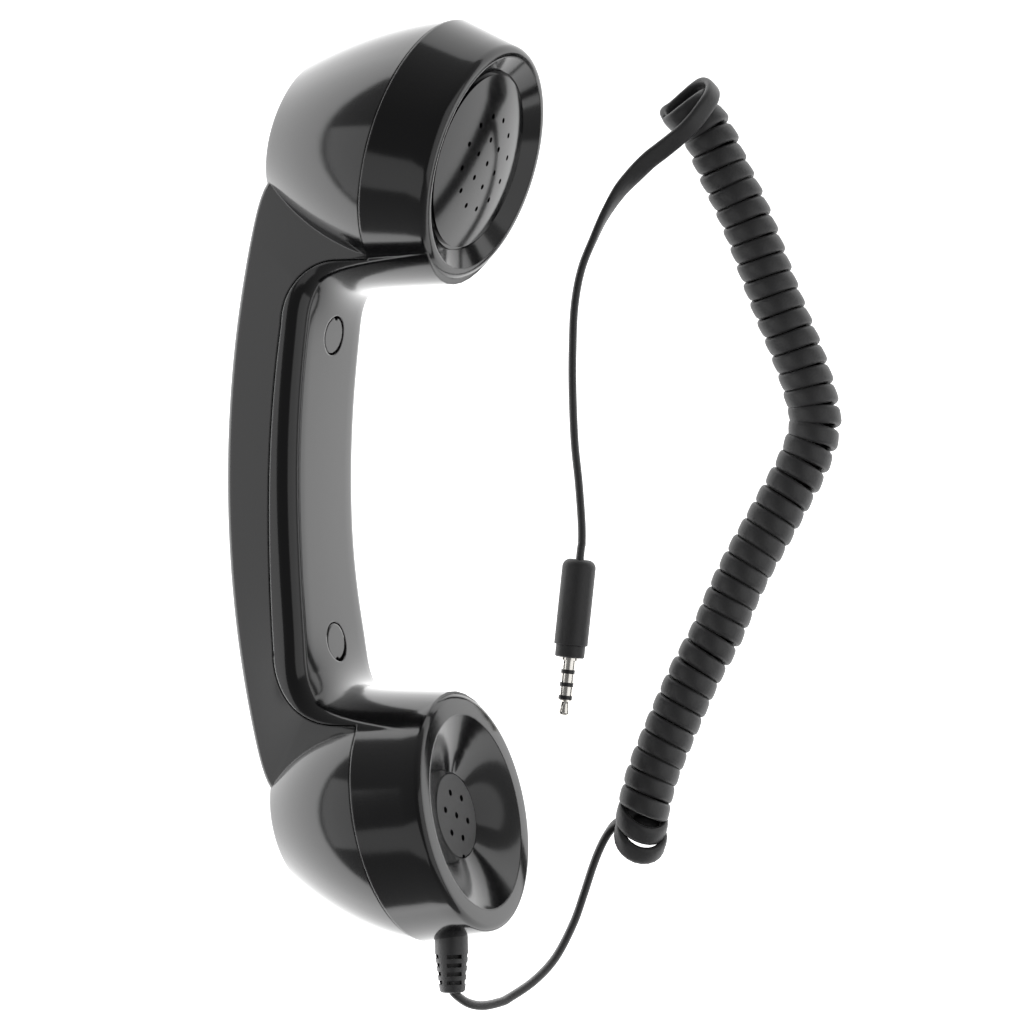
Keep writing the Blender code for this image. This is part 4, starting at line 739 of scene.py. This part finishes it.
def grip_section(front, back, inset=0.0, fine=8, across=9):
    """A section across the grip: flat inside with round edges, which turns into the ring's round side."""
    ahead = (front - back).normalized()
    length = (front - back).length - 2 * inset
    cup, blend = ring_blend(front)
    half = grip_half_width(front.y) - inset
    rear_half = GRIP_HALF_WIDTH - GRIP_DRAFT - NECK_NARROWING * blend**2 - inset
    front_edge = max(GRIP_FRONT_EDGE + (NECK_EDGE - GRIP_FRONT_EDGE) * blend - inset, 0.4 * MM)
    back_edge = max(GRIP_BACK_EDGE - inset, 0.4 * MM)
    quarter = math.pi / 2
    outline = arc((length - front_edge, half - front_edge), front_edge, 0, quarter, fine)
    outline += arc((back_edge, rear_half - back_edge), back_edge, quarter, 2 * quarter, fine)
    flat = rear_half - back_edge
    shares = [1 - 2 * i / across for i in range(1, across)]
    outline += [(-GRIP_CROWN * (1 - share**2), flat * share) for share in shares]
    outline += arc((back_edge, back_edge - rear_half), back_edge, 2 * quarter, 3 * quarter, fine)
    outline += arc((length - front_edge, front_edge - half), front_edge, 3 * quarter, 4 * quarter, fine)
    outline += [(length, -(half - front_edge) * share) for share in shares]
    origin = back + inset * ahead
    tuck = 1 + (cup.neck_stand + NECK_SINK) / round_drop(cup, NECK_MERGE)
    steepness = tuck * blend / max(cup.side * ahead.dot(cup.along), 0.3)
    points = []
    for p, q in outline:
        drop = round_drop(cup, q) if p > length / 2 else 0.0
        points.append(origin + (p - steepness * drop) * ahead + Vector((0, 0, q)))
    return points


def grip_outside():
    """The grip with both necks, its sections averaged with their neighbours so that the necks flow."""
    sections = [grip_section(front, back) for front, back in grip_stations(20, 60)]
    for _ in range(NECK_PASSES):
        threes = zip(sections, sections[1:], sections[2:])
        eased = [[(p + 2 * q + r) / 4 for p, q, r in zip(*three)] for three in threes]
        sections = [sections[0]] + eased + [sections[-1]]
    return loft(sections)


def grip_inside():
    """The hollow of the grip, open into both cups."""
    stations = grip_stations(5, 12)
    return loft([grip_section(front, back, WALL, 3, 4) for front, back in stations[3:-3]])


def parting_outline(gap):
    """The outline in the mid-plane that the front shell keeps, moved back by a gap."""
    reach = 90.0 * MM
    points = []
    for cup in (EAR, MOUTH):
        centre = neck_centre(cup)
        radius = cup.neck_fillet + cup.parting_depth + gap
        seam = cup.centre - gap * cup.forward
        level = centre.y - cup.side * radius
        corner = seam + (level - seam.y) / cup.along.y * cup.along
        outer = seam - cup.side * reach * cup.along
        turn = arc(centre, radius, -cup.side * math.pi / 2, -cup.side * math.pi, 24)
        points.append([outer, corner] + [Vector((*p, 0)) for p in turn])
    ear, mouth = points
    bow = []
    for i in range(1, 36):
        share = i / 36
        sag = PARTING_BOW * 4 * share * (1 - share)
        bow.append(ear[-1].lerp(mouth[-1], share) - Vector((sag, 0, 0)))
    front = Vector((reach, 0, 0))
    return ear + bow + mouth[::-1] + [mouth[0] + front, ear[0] + front]


def front_region(gap, name):
    """A block that covers what the front shell keeps."""
    outline = parting_outline(gap)
    half = Vector((0, 0, 60.0 * MM))
    return object_from(loft([[p - half for p in outline], [p + half for p in outline]]), name)


def cover_place(which):
    """The matrix of a screw cover on the grip's inner face, with +Z pointing out."""
    middle = inner_centre()
    y = COVER_AT[which]
    x = middle.x - math.sqrt(GRIP_INNER_RADIUS**2 - (y - middle.y) ** 2)
    tilt = COVER_TILT[which]
    out = Vector((math.cos(tilt), math.sin(tilt), 0))
    along = Vector((-math.sin(tilt), math.cos(tilt), 0))
    return placed((x, y, 0), along, UP, out)


def relief_place():
    """The matrix at the strain relief's root, with +Z pointing out along the cord."""
    height = RELIEF_HEIGHT_ON_RING
    reach = MOUTH.ring_radius(height) - MOUTH.ring_shift(height)
    root = MOUTH.centre + height * MOUTH.forward - reach * MOUTH.along
    out = Vector((math.sin(RELIEF_TILT), -math.cos(RELIEF_TILT), 0))
    across = Vector((math.cos(RELIEF_TILT), math.sin(RELIEF_TILT), 0))
    return placed(root, across, out.cross(across), out)


def body_solid(name, sides):
    """The whole body as one hollow solid."""
    body = object_from(grip_outside(), name)
    helpers, hollows = [], []
    for cup in (EAR, MOUTH):
        helpers.append(object_from(cup_outside(cup, sides), "outside_" + cup.name, cup.place()))
        hollows.append(object_from(cup_inside(cup), "inside_" + cup.name, cup.place()))
    hollows.append(object_from(grip_inside(), "inside_grip"))
    for helper in helpers:
        combine(body, helper, "UNION")
    for hollow in hollows:
        combine(body, hollow)
    settle(body, helpers + hollows)
    return body


def build_shells(sides):
    """Both shells, parted along the seam."""
    front = body_solid("front_shell_moulding", sides)
    rear = bpy.data.objects.new("rear_shell_moulding", front.data.copy())
    bpy.context.scene.collection.objects.link(rear)
    kept = front_region(-GAP / 2, "front_half")
    combine(front, kept, "INTERSECT")
    helpers = [kept]
    for cup in (EAR, MOUTH):
        opening = cylinder(cup.opening_radius, -cup.lip_depth - TOOL_REACH / 2, TOOL_REACH, sides)
        turned_off = Matrix.Rotation(OPENING_TURN, 4, "Z")
        helpers.append(object_from(opening, "opening_" + cup.name, cup.rim() @ turned_off))
    for which in COVER_AT:
        pocket = cylinder(COVER_RADIUS + GAP, -COVER_THICKNESS - TOOL_REACH, TOOL_REACH, 96)
        helpers.append(object_from(pocket, "pocket_" + which, cover_place(which)))
    radius, reach = RELIEF_ROOT_RADIUS + GAP, 2.5 * TOOL_REACH
    notch = cylinder(radius, -reach, reach, 96)
    helpers.append(object_from(notch, "relief_notch", relief_place()))
    slot = box((-RELIEF_HEIGHT_ON_RING - TOOL_REACH, -radius, -reach), (0, radius, reach))
    helpers.append(object_from(slot, "relief_slot", relief_place()))
    for helper in helpers[1:]:
        combine(front, helper)
    settle(front, helpers)
    cut = front_region(GAP / 2, "rear_cut")
    combine(rear, cut)
    settle(rear, [cut])
    for shell, node in ((front, "front_shell"), (rear, "rear_shell")):
        shell.data.transform(HANDSET)
        piece(shell, "gloss_body", node)


def cap_dome_height(radius):
    """Height of the cap's shallow dome over the plane of the rim, on a ball through its top and its edge."""
    rise = CAP_DOME_EDGE_DEPTH + CAP_DOME_TOP
    edge = CAP_WALL_FOOT - CAP_GROOVE
    ball = (edge**2 + rise**2) / (2 * rise)
    return CAP_DOME_TOP - ball + math.sqrt(ball**2 - radius**2)


def flat_cap(radius, thickness, edge, top):
    """The outline of a flat disc with a small chamfer round its face."""
    back = top - thickness
    return [(0, top), (radius - edge, top), (radius, top - edge), (radius, back), (0, back)]


def build_earpiece(sides):
    """The dished cap: a sloping wall, a fine groove and a shallow dome with its sound holes."""
    edge = CAP_WALL_FOOT - CAP_GROOVE
    top = EAR.opening_radius - FIT
    floor = -CAP_RECESS - CAP_GROOVE / 2
    steps = 24
    dome = [(edge * i / steps, cap_dome_height(edge * i / steps)) for i in range(steps + 1)]
    profile = dome + [(edge, floor), (CAP_WALL_FOOT, floor), (CAP_WALL_FOOT, -CAP_RECESS)]
    profile += [(top, -INSET_DROP), (top, -EAR.lip_depth - CAP_THICKNESS)]
    profile += [(radius, height - CAP_DOME_THICKNESS) for radius, height in reversed(dome)]
    cap = object_from(turned(profile, sides), "earpiece_dished_cap")
    drill = pins(EAR_HOLE_RINGS, EAR_HOLE_RADIUS, EAR_HOLE_TURN, -4 * TOOL_REACH, TOOL_REACH)
    holes = object_from(drill, "ear_holes")
    combine(cap, holes)
    settle(cap, [holes])
    cap.data.transform(HANDSET @ EAR.rim())
    piece(cap, "gloss_body", "earpiece_cap", finish=inset_abs())


def build_mouthpiece(sides):
    """The funnel of the mouthpiece and the flat disc with the speech holes at its foot."""
    mouth = MOUTH.opening_radius - FIT
    foot = GRILLE_RADIUS + GAP / 2
    floor = -FUNNEL_DEPTH
    back = floor - GRILLE_THICKNESS
    profile = [(mouth, -INSET_DROP), (foot + 0.2 * MM, floor + 0.1 * MM), (foot, floor - 0.1 * MM), (foot, back)]
    profile += [(foot + FUNNEL_WALL, back), (mouth, -MOUTH.lip_depth - FUNNEL_WALL)]
    funnel = object_from(turned(profile, sides), "mouthpiece_funnel")
    funnel.data.transform(HANDSET @ MOUTH.rim())
    piece(funnel, "gloss_body", "mouthpiece_cup", finish=inset_abs())
    outline = flat_cap(GRILLE_RADIUS, GRILLE_THICKNESS, GRILLE_EDGE, floor)
    grille = object_from(turned(outline, sides), "mouthpiece_speech_disc")
    low, high = back - TOOL_REACH / 2, floor + TOOL_REACH / 2
    holes = object_from(pins(MOUTH_HOLE_RINGS, MOUTH_HOLE_RADIUS, MOUTH_HOLE_TURN, low, high), "mouth_holes")
    spot = Matrix.Translation((-GRILLE_RADIUS, 0, 0))
    notch = object_from(cylinder(GRILLE_NOTCH, low, high, 24), "disc_notch", spot)
    combine(grille, holes)
    combine(grille, notch)
    settle(grille, [holes, notch])
    grille.data.transform(HANDSET @ MOUTH.rim())
    piece(grille, "gloss_body", "mouthpiece_grille", finish=dull_abs())


def build_covers():
    """Two flush caps over the screws, each with a small notch to pry it out."""
    for which in COVER_AT:
        outline = flat_cap(COVER_RADIUS, COVER_THICKNESS, COVER_EDGE, 0.0)
        cover = object_from(turned(outline, 96), which + "_cover_cap")
        outward = 1 if which == "upper" else -1
        spot = Matrix.Translation((outward * COVER_RADIUS, 0, 0))
        notch = object_from(cylinder(COVER_NOTCH, -TOOL_REACH, TOOL_REACH / 2, 32), which + "_notch", spot)
        combine(cover, notch)
        settle(cover, [notch])
        cover.data.transform(HANDSET @ cover_place(which))
        piece(cover, "gloss_body", which + "_screw_cover")


def build_relief():
    """The strain relief: a collar in the ring's notch and a tail that tapers, with a row of slots on four sides."""
    edge, tip, length = RELIEF_EDGE, RELIEF_TIP_RADIUS, RELIEF_LENGTH
    profile = [(0, -RELIEF_ROOT_DEPTH), (RELIEF_ROOT_RADIUS, -RELIEF_ROOT_DEPTH), (RELIEF_ROOT_RADIUS, RELIEF_COLLAR)]
    profile += [(tip, length - edge), (tip - edge / 3, length - edge / 3), (tip - edge, length), (0, length)]
    relief = object_from(turned(profile, 96), "strain_relief_boot")
    helpers = []
    half, wide = RELIEF_SLOT_HALF, RELIEF_ROOT_RADIUS + TOOL_REACH
    for row in range(RELIEF_ROWS):
        low = RELIEF_COLLAR + row * RELIEF_PITCH
        for quarter in range(4):
            turn = Matrix.Rotation(quarter * math.pi / 2 - RELIEF_SLOT_TURN, 4, "Z")
            slot = box((-half, RELIEF_CORE, low), (half, wide, low + RELIEF_SLOT))
            helpers.append(object_from(slot, "slot", turn))
    for helper in helpers:
        combine(relief, helper)
    settle(relief, helpers)
    relief.data.transform(HANDSET @ relief_place())
    return piece(relief, "cord_rubber", "strain_relief")


# Cord and plug


def curve_point(points, at):
    """A point on the smooth curve through the given ones, where whole numbers are the points themselves."""
    first = min(max(int(at), 0), len(points) - 2)
    t = at - first
    b, c = points[first], points[first + 1]
    a = points[first - 1] if first else 2 * b - c
    d = points[first + 2] if first + 2 < len(points) else 2 * c - b
    return 0.5 * (2 * b + (c - a) * t + (2 * a - 5 * b + 4 * c - d) * t**2 + (3 * b - a - 3 * c + d) * t**3)


def smooth_route(points, step):
    """Points at an even spacing on a smooth curve through the given ones."""
    fine = [curve_point(points, i / 24) for i in range(24 * (len(points) - 1))] + [points[-1]]
    total = sum((q - p).length for p, q in zip(fine, fine[1:]))
    count = max(2, round(total / step))
    route, walked, target = [fine[0]], 0.0, total / count
    for p, q in zip(fine, fine[1:]):
        reach = (q - p).length
        while walked + reach >= target - 1e-9 and len(route) < count:
            route.append(p.lerp(q, (target - walked) / reach))
            target += total / count
        walked += reach
    route.append(fine[-1])
    return route


def plug_place():
    """The matrix at the end of the plug where the cord enters, with +Z pointing to the tip."""
    start, end = (Vector((x * MM, y * MM, PLUG_HEIGHT)) for x, y in (PLUG_START, PLUG_END))
    out = (end - start).normalized()
    across = UP.cross(out)
    return placed(start, across, out.cross(across), out)


def ease(share):
    """A share from 0 to 1 with a soft start and end."""
    share = min(max(share, 0.0), 1.0)
    return share * share * (3 - 2 * share)


def coil_route(settings):
    """Points of the coil's centreline and the outward direction at each, from the handset's end to the plug's."""
    radius = settings.coil_radius - settings.cord_thickness / 2
    axis = [Vector((x, y, 0)) * MM + Vector((0, 0, settings.coil_radius)) for x, y in COIL_AXIS]
    points, outs = [], []
    for i in range(round(settings.coil_turns * settings.turn_points) + 1):
        turn = i / settings.turn_points
        centre = curve_point(axis, turn / 2)
        ahead = (curve_point(axis, turn / 2 + 0.5) - curve_point(axis, turn / 2 - 0.5)).normalized()
        last = ease(1 - (settings.coil_turns - turn) / LAST_TURNS)
        wide = radius * (1 + LAST_GROWTH * last)
        centre.z += wide - radius
        lean = COIL_LEAN + COIL_LEAN_GAIN * turn / settings.coil_turns
        lean += LAST_LEAN * last + FIRST_LEAN * ease(1 - turn / FIRST_LEAN_TURNS)
        ahead = Matrix.Rotation(lean, 3, "Z") @ ahead
        right = ahead.cross(UP).normalized()
        tip = FIRST_TIP * ease(1 - (turn - FIRST_TIP_TURNS[0]) / FIRST_TIP_TURNS[1])
        angle = -math.pi / 2 + math.tau * turn
        for tilt, found in ((tip, points), (FIRST_TWIST * tip, outs)):
            up = UP * math.cos(tilt) - ahead * math.sin(tilt)
            found.append(math.cos(angle) * right + math.sin(angle) * up)
        points[-1] = centre + wide * points[-1]
    return points, outs


def cord_route(settings, start):
    """The whole centreline and the cord's thin direction along it."""
    to_coil, loop, to_plug = ([Vector(p) * MM for p in part] for part in (LEAD_FROM_HANDSET, END_LOOP, LEAD_TO_PLUG))
    coil, outs = coil_route(settings)
    first = smooth_route(start + to_coil + [coil[0], coil[2]], CORD_STEP)
    first = first[: -max(1, round((coil[2] - coil[0]).length / CORD_STEP))]
    entry = [plug_place() @ Vector((0, 0, depth)) for depth in CORD_IN_PLUG]
    second = smooth_route([coil[-1]] + loop + to_plug + entry, CORD_STEP)[1:]
    centre = sum(loop, Vector()) / len(loop)
    around = sum((q - p).length for p, q in zip([coil[-1]] + loop, loop)) / CORD_STEP
    route = first + coil + second
    thin = []
    for i, point in enumerate(route):
        ahead = (route[min(i + 1, len(route) - 1)] - route[max(i - 1, 0)]).normalized()
        level = ahead.cross(UP).normalized()
        if i < len(first):
            want = level.lerp(outs[0], ease((i / len(first) - COIL_TWIST_FROM) / (1 - COIL_TWIST_FROM)))
        elif i < len(first) + len(coil):
            want = outs[i - len(first)]
        else:
            walked = i - len(first) - len(coil)
            away = outs[-1].lerp((point - centre).normalized(), ease(walked / LOOP_TWIST_STEPS))
            past = walked - around
            lead = UP.lerp(-level, ease(past / (EDGE_UP_SHARE * (len(second) - around))))
            want = away.lerp(lead, ease(past / LEAD_TWIST_STEPS))
        thin.append((want - want.dot(ahead) * ahead).normalized())
    return route, thin


def sweep(route, thin, width, thickness, sides, name):
    """A flat ribbon with round edges: one outline, extruded along the route and turned with it."""
    sections = []
    for i, (point, out) in enumerate(zip(route, thin)):
        ahead = (route[min(i + 1, len(route) - 1)] - route[max(i - 1, 0)]).normalized()
        across = ahead.cross(out)
        section = []
        for k in range(sides):
            angle = math.tau * k / sides
            c, s = math.cos(angle), math.sin(angle)
            p = math.copysign(abs(c) ** RIBBON_SQUARENESS[0], c) * width / 2
            q = math.copysign(abs(s) ** RIBBON_SQUARENESS[1], s) * thickness / 2
            section.append(point + p * across + q * out)
        sections.append(section)
    return object_from(loft(sections), name)


def build_cord(settings):
    """The flat cord as one ribbon: a lead from the strain relief, the coil, and a lead to the plug."""
    exit_place = HANDSET @ relief_place()
    start = [exit_place @ Vector((0, 0, RELIEF_LENGTH + depth)) for depth in CORD_IN_RELIEF]
    route, thin = cord_route(settings, start)
    cord = sweep(route, thin, settings.cord_width, settings.cord_thickness, 20, "flat_curly_cord")
    piece(cord, "cord_rubber", "handset_lead", "curly_cord", "plug_lead", angle=60.0)
    length = sum((q - p).length for p, q in zip(route, route[1:]))
    return cord, route, length


def rod(radius, length, edge=0.0):
    """The outline of a plain round piece, with a small chamfer at its far end."""
    end = [(radius, length - edge), (radius - edge, length)] if edge else [(radius, length)]
    return [(0, 0), (radius, 0)] + end + [(0, length)]


def plug_profiles():
    """The turned outline of each piece of the plug, from the end where the cord enters."""
    barrel = rod(PLUG_RADIUS, PLUG_LENGTH, PLUG_EDGE)
    corner = arc((PLUG_RADIUS - PLUG_ROUND, PLUG_ROUND), PLUG_ROUND, -math.pi / 2, 0, 10)
    yield "plug_body", "plug_rubber", barrel[:1] + corner + barrel[2:]
    yield "plug_collar", "plug_plastic", rod(COLLAR_RADIUS, COLLAR_LENGTH, COLLAR_EDGE)
    sleeve = rod(CONTACT_RADIUS, SLEEVE_LENGTH)
    flange = [(0, 0), (FLANGE_RADIUS, 0), (FLANGE_RADIUS, FLANGE_LENGTH), (CONTACT_RADIUS, FLANGE_LENGTH)]
    yield "plug_sleeve", "contact", flange + sleeve[2:]
    insulator = rod(INSULATOR_RADIUS, INSULATOR_LENGTH)
    for number in (2, 1):
        yield "plug_insulator_%d" % (number + 1), "plug_plastic", insulator
        yield "plug_ring_%d" % number, "contact", rod(CONTACT_RADIUS, RING_LENGTH)
    yield "plug_insulator_1", "plug_plastic", insulator
    yield "plug_tip", "contact", [(radius * MM, height * MM) for radius, height in PLUG_TIP]


def build_plug():
    """The plug: a matte barrel and collar, then four contacts parted by three insulators."""
    made = []
    low = 0.0
    for node, slot, profile in plug_profiles():
        raised = [(radius, height + low) for radius, height in profile]
        obj = object_from(turned(raised, 96), node + "_turned")
        obj.data.transform(plug_place())
        made.append(piece(obj, slot, node, finish=plug_rubber() if node == "plug_collar" else None))
        low += profile[-1][1] + PLUG_JOINT
    return made


def finish_inner():
    """Gives every CAD node that stays its own finish from the record's slots."""
    slots = {entry["node"]: entry["material_slot"] for entry in frame["record"]["subparts"]}
    for name, obj in frame["nodes"].items():
        obj.data.materials.clear()
        obj.data.materials.append(slot_material(slots[name]))


# Stage


def build_table(settings):
    """The white table, whose own light grows toward the handset's side."""
    bm = bmesh.new()
    bmesh.ops.create_grid(bm, x_segments=4, y_segments=4, size=TABLE_HALF)
    floor = object_from(bm, "table_top")
    made = bpy.data.materials.new("white_table")
    made.use_nodes = True
    tree = made.node_tree
    shader = tree.nodes["Principled BSDF"]
    shader.inputs["Base Color"].default_value = TABLE_WHITE
    shader.inputs["Roughness"].default_value = 0.9
    shader.inputs["Specular IOR Level"].default_value = 0.0
    shader.inputs["Emission Color"].default_value = (1, 1, 1, 1)
    spot = add_node(tree, "ShaderNodeTexCoord").outputs["Object"]
    across = add_node(tree, "ShaderNodeSeparateXYZ", links=[("Vector", spot)]).outputs["X"]
    span = [("From Min", TABLE_GLOW_FROM), ("From Max", TABLE_GLOW_TO)]
    span += [("To Min", TABLE_GLOW_LEFT * settings.table_glow), ("To Max", settings.table_glow)]
    glow = add_node(tree, "ShaderNodeMapRange", span, [("Value", across)])
    tree.links.new(glow.outputs["Result"], shader.inputs["Emission Strength"])
    floor.data.materials.append(made)


def build_room(settings):
    """A dim room that is brighter toward the horizon, and its soft boxes."""
    world = bpy.data.worlds.new("dim_room")
    bpy.context.scene.world = world
    world.use_nodes = True
    sky = world.node_tree
    way = add_node(sky, "ShaderNodeTexCoord").outputs["Generated"]
    height = add_node(sky, "ShaderNodeSeparateXYZ", links=[("Vector", way)]).outputs["Z"]
    span = [("From Min", ROOM_TOP), ("From Max", 0.0), ("To Min", 1.0), ("To Max", HORIZON_GLOW)]
    fade = add_node(sky, "ShaderNodeMapRange", span, [("Value", height)]).outputs["Result"]
    level = add_node(sky, "ShaderNodeMath", [(1, settings.room_glow)], [(0, fade)], operation="MULTIPLY")
    sky.nodes["Background"].inputs["Color"].default_value = (1, 1, 1, 1)
    sky.links.new(level.outputs["Value"], sky.nodes["Background"].inputs["Strength"])

    for name, azimuth, polar, size, share in SOFT_BOXES:
        light = bpy.data.lights.new(name, "AREA")
        light.shape = "RECTANGLE"
        light.size, light.size_y = size
        light.energy = settings.box_strength * share * math.pi * size[0] * size[1]
        lamp = bpy.data.objects.new(name, light)
        a, p = math.radians(azimuth), math.radians(polar)
        way = Vector((math.sin(p) * math.cos(a), math.sin(p) * math.sin(a), math.cos(p)))
        lamp.location = BOX_DISTANCE * way
        lamp.rotation_euler = way.to_track_quat("Z", "Y").to_euler()
        bpy.context.scene.collection.objects.link(lamp)


def build_camera():
    """The camera straight above the table, as in the photograph."""
    camera = bpy.data.objects.new("camera", bpy.data.cameras.new("camera"))
    camera.data.lens = CAMERA_LENS
    camera.data.sensor_width = CAMERA_SENSOR
    camera.location = CAMERA_SPOT
    bpy.context.scene.collection.objects.link(camera)
    bpy.context.scene.camera = camera
    bpy.context.scene.view_settings.view_transform = "Standard"


# Add-on


class HandsetSettings(bpy.types.PropertyGroup):
    cup_sides: IntProperty(name="Cup sides", description="Facets round each cup", default=192)
    cord_width: FloatProperty(name="Cord width", description="Width of the flat cord", default=0.0045, unit="LENGTH")
    cord_thickness: FloatProperty(
        name="Cord thickness", description="Thickness of the flat cord", default=0.0020, unit="LENGTH"
    )
    coil_radius: FloatProperty(name="Coil radius", description="Outer radius of the coil", default=0.0064, unit="LENGTH")
    coil_turns: FloatProperty(name="Coil turns", description="Number of turns, ending on the left", default=41.75)
    turn_points: IntProperty(name="Turn points", description="Points of the centreline in each turn", default=24)
    table_glow: FloatProperty(name="Table glow", description="Light of the white table itself", default=1.5)
    room_glow: FloatProperty(name="Room glow", description="Light of the room round the table", default=0.17)
    box_strength: FloatProperty(name="Soft box strength", description="Radiance of the soft boxes", default=1.0)


class HANDSET_OT_cord(bpy.types.Operator):
    """Builds the flat cord, its strain relief and its plug."""

    bl_idname = "handset.cord"
    bl_label = "Cord and plug"

    def execute(self, context):
        settings = context.scene.handset
        relief = build_relief()
        plug = build_plug()
        cord, route, length = build_cord(settings)
        return {"FINISHED"}


class HANDSET_OT_shells(bpy.types.Operator):
    """Builds the two moulded shells of the handset."""

    bl_idname = "handset.shells"
    bl_label = "Shells"

    def execute(self, context):
        build_shells(context.scene.handset.cup_sides)
        return {"FINISHED"}


class HANDSET_OT_ends(bpy.types.Operator):
    """Builds the earpiece cap, the mouthpiece and the two screw covers."""

    bl_idname = "handset.ends"
    bl_label = "Earpiece, mouthpiece and covers"

    def execute(self, context):
        sides = context.scene.handset.cup_sides
        build_earpiece(sides)
        build_mouthpiece(sides)
        build_covers()
        return {"FINISHED"}


class HANDSET_OT_finishes(bpy.types.Operator):
    """Gives the parts inside the handset their finishes."""

    bl_idname = "handset.finishes"
    bl_label = "Inner finishes"

    def execute(self, context):
        finish_inner()
        return {"FINISHED"}


class HANDSET_OT_stage(bpy.types.Operator):
    """Sets the table, the lights and the camera."""

    bl_idname = "handset.stage"
    bl_label = "Stage"

    def execute(self, context):
        settings = context.scene.handset
        build_table(settings)
        build_room(settings)
        build_camera()
        return {"FINISHED"}


class HANDSET_PT_panel(bpy.types.Panel):
    """The steps and sizes of the handset in the sidebar."""

    bl_label = "Handset"
    bl_space_type = "VIEW_3D"
    bl_region_type = "UI"
    bl_category = "Handset"

    def draw(self, context):
        for name in HandsetSettings.__annotations__:
            self.layout.prop(context.scene.handset, name)
        for step in STEPS:
            self.layout.operator(step.bl_idname)


STEPS = (HANDSET_OT_stage, HANDSET_OT_cord, HANDSET_OT_shells, HANDSET_OT_ends, HANDSET_OT_finishes)


def register():
    """Adds the add-on's classes and the scene's settings."""
    bpy.utils.register_class(HandsetSettings)
    bpy.types.Scene.handset = PointerProperty(type=HandsetSettings)
    for step in STEPS:
        bpy.utils.register_class(step)
    bpy.utils.register_class(HANDSET_PT_panel)


def unregister():
    """Takes them out again, in the opposite order."""
    bpy.utils.unregister_class(HANDSET_PT_panel)
    for step in reversed(STEPS):
        bpy.utils.unregister_class(step)
    del bpy.types.Scene.handset
    bpy.utils.unregister_class(HandsetSettings)


def main():
    """Builds the whole scene."""
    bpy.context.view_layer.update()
    register()
    bpy.ops.handset.stage()
    bpy.ops.handset.cord()
    bpy.ops.handset.shells()
    bpy.ops.handset.ends()
    bpy.ops.handset.finishes()


if __name__ == "__main__":
    main()
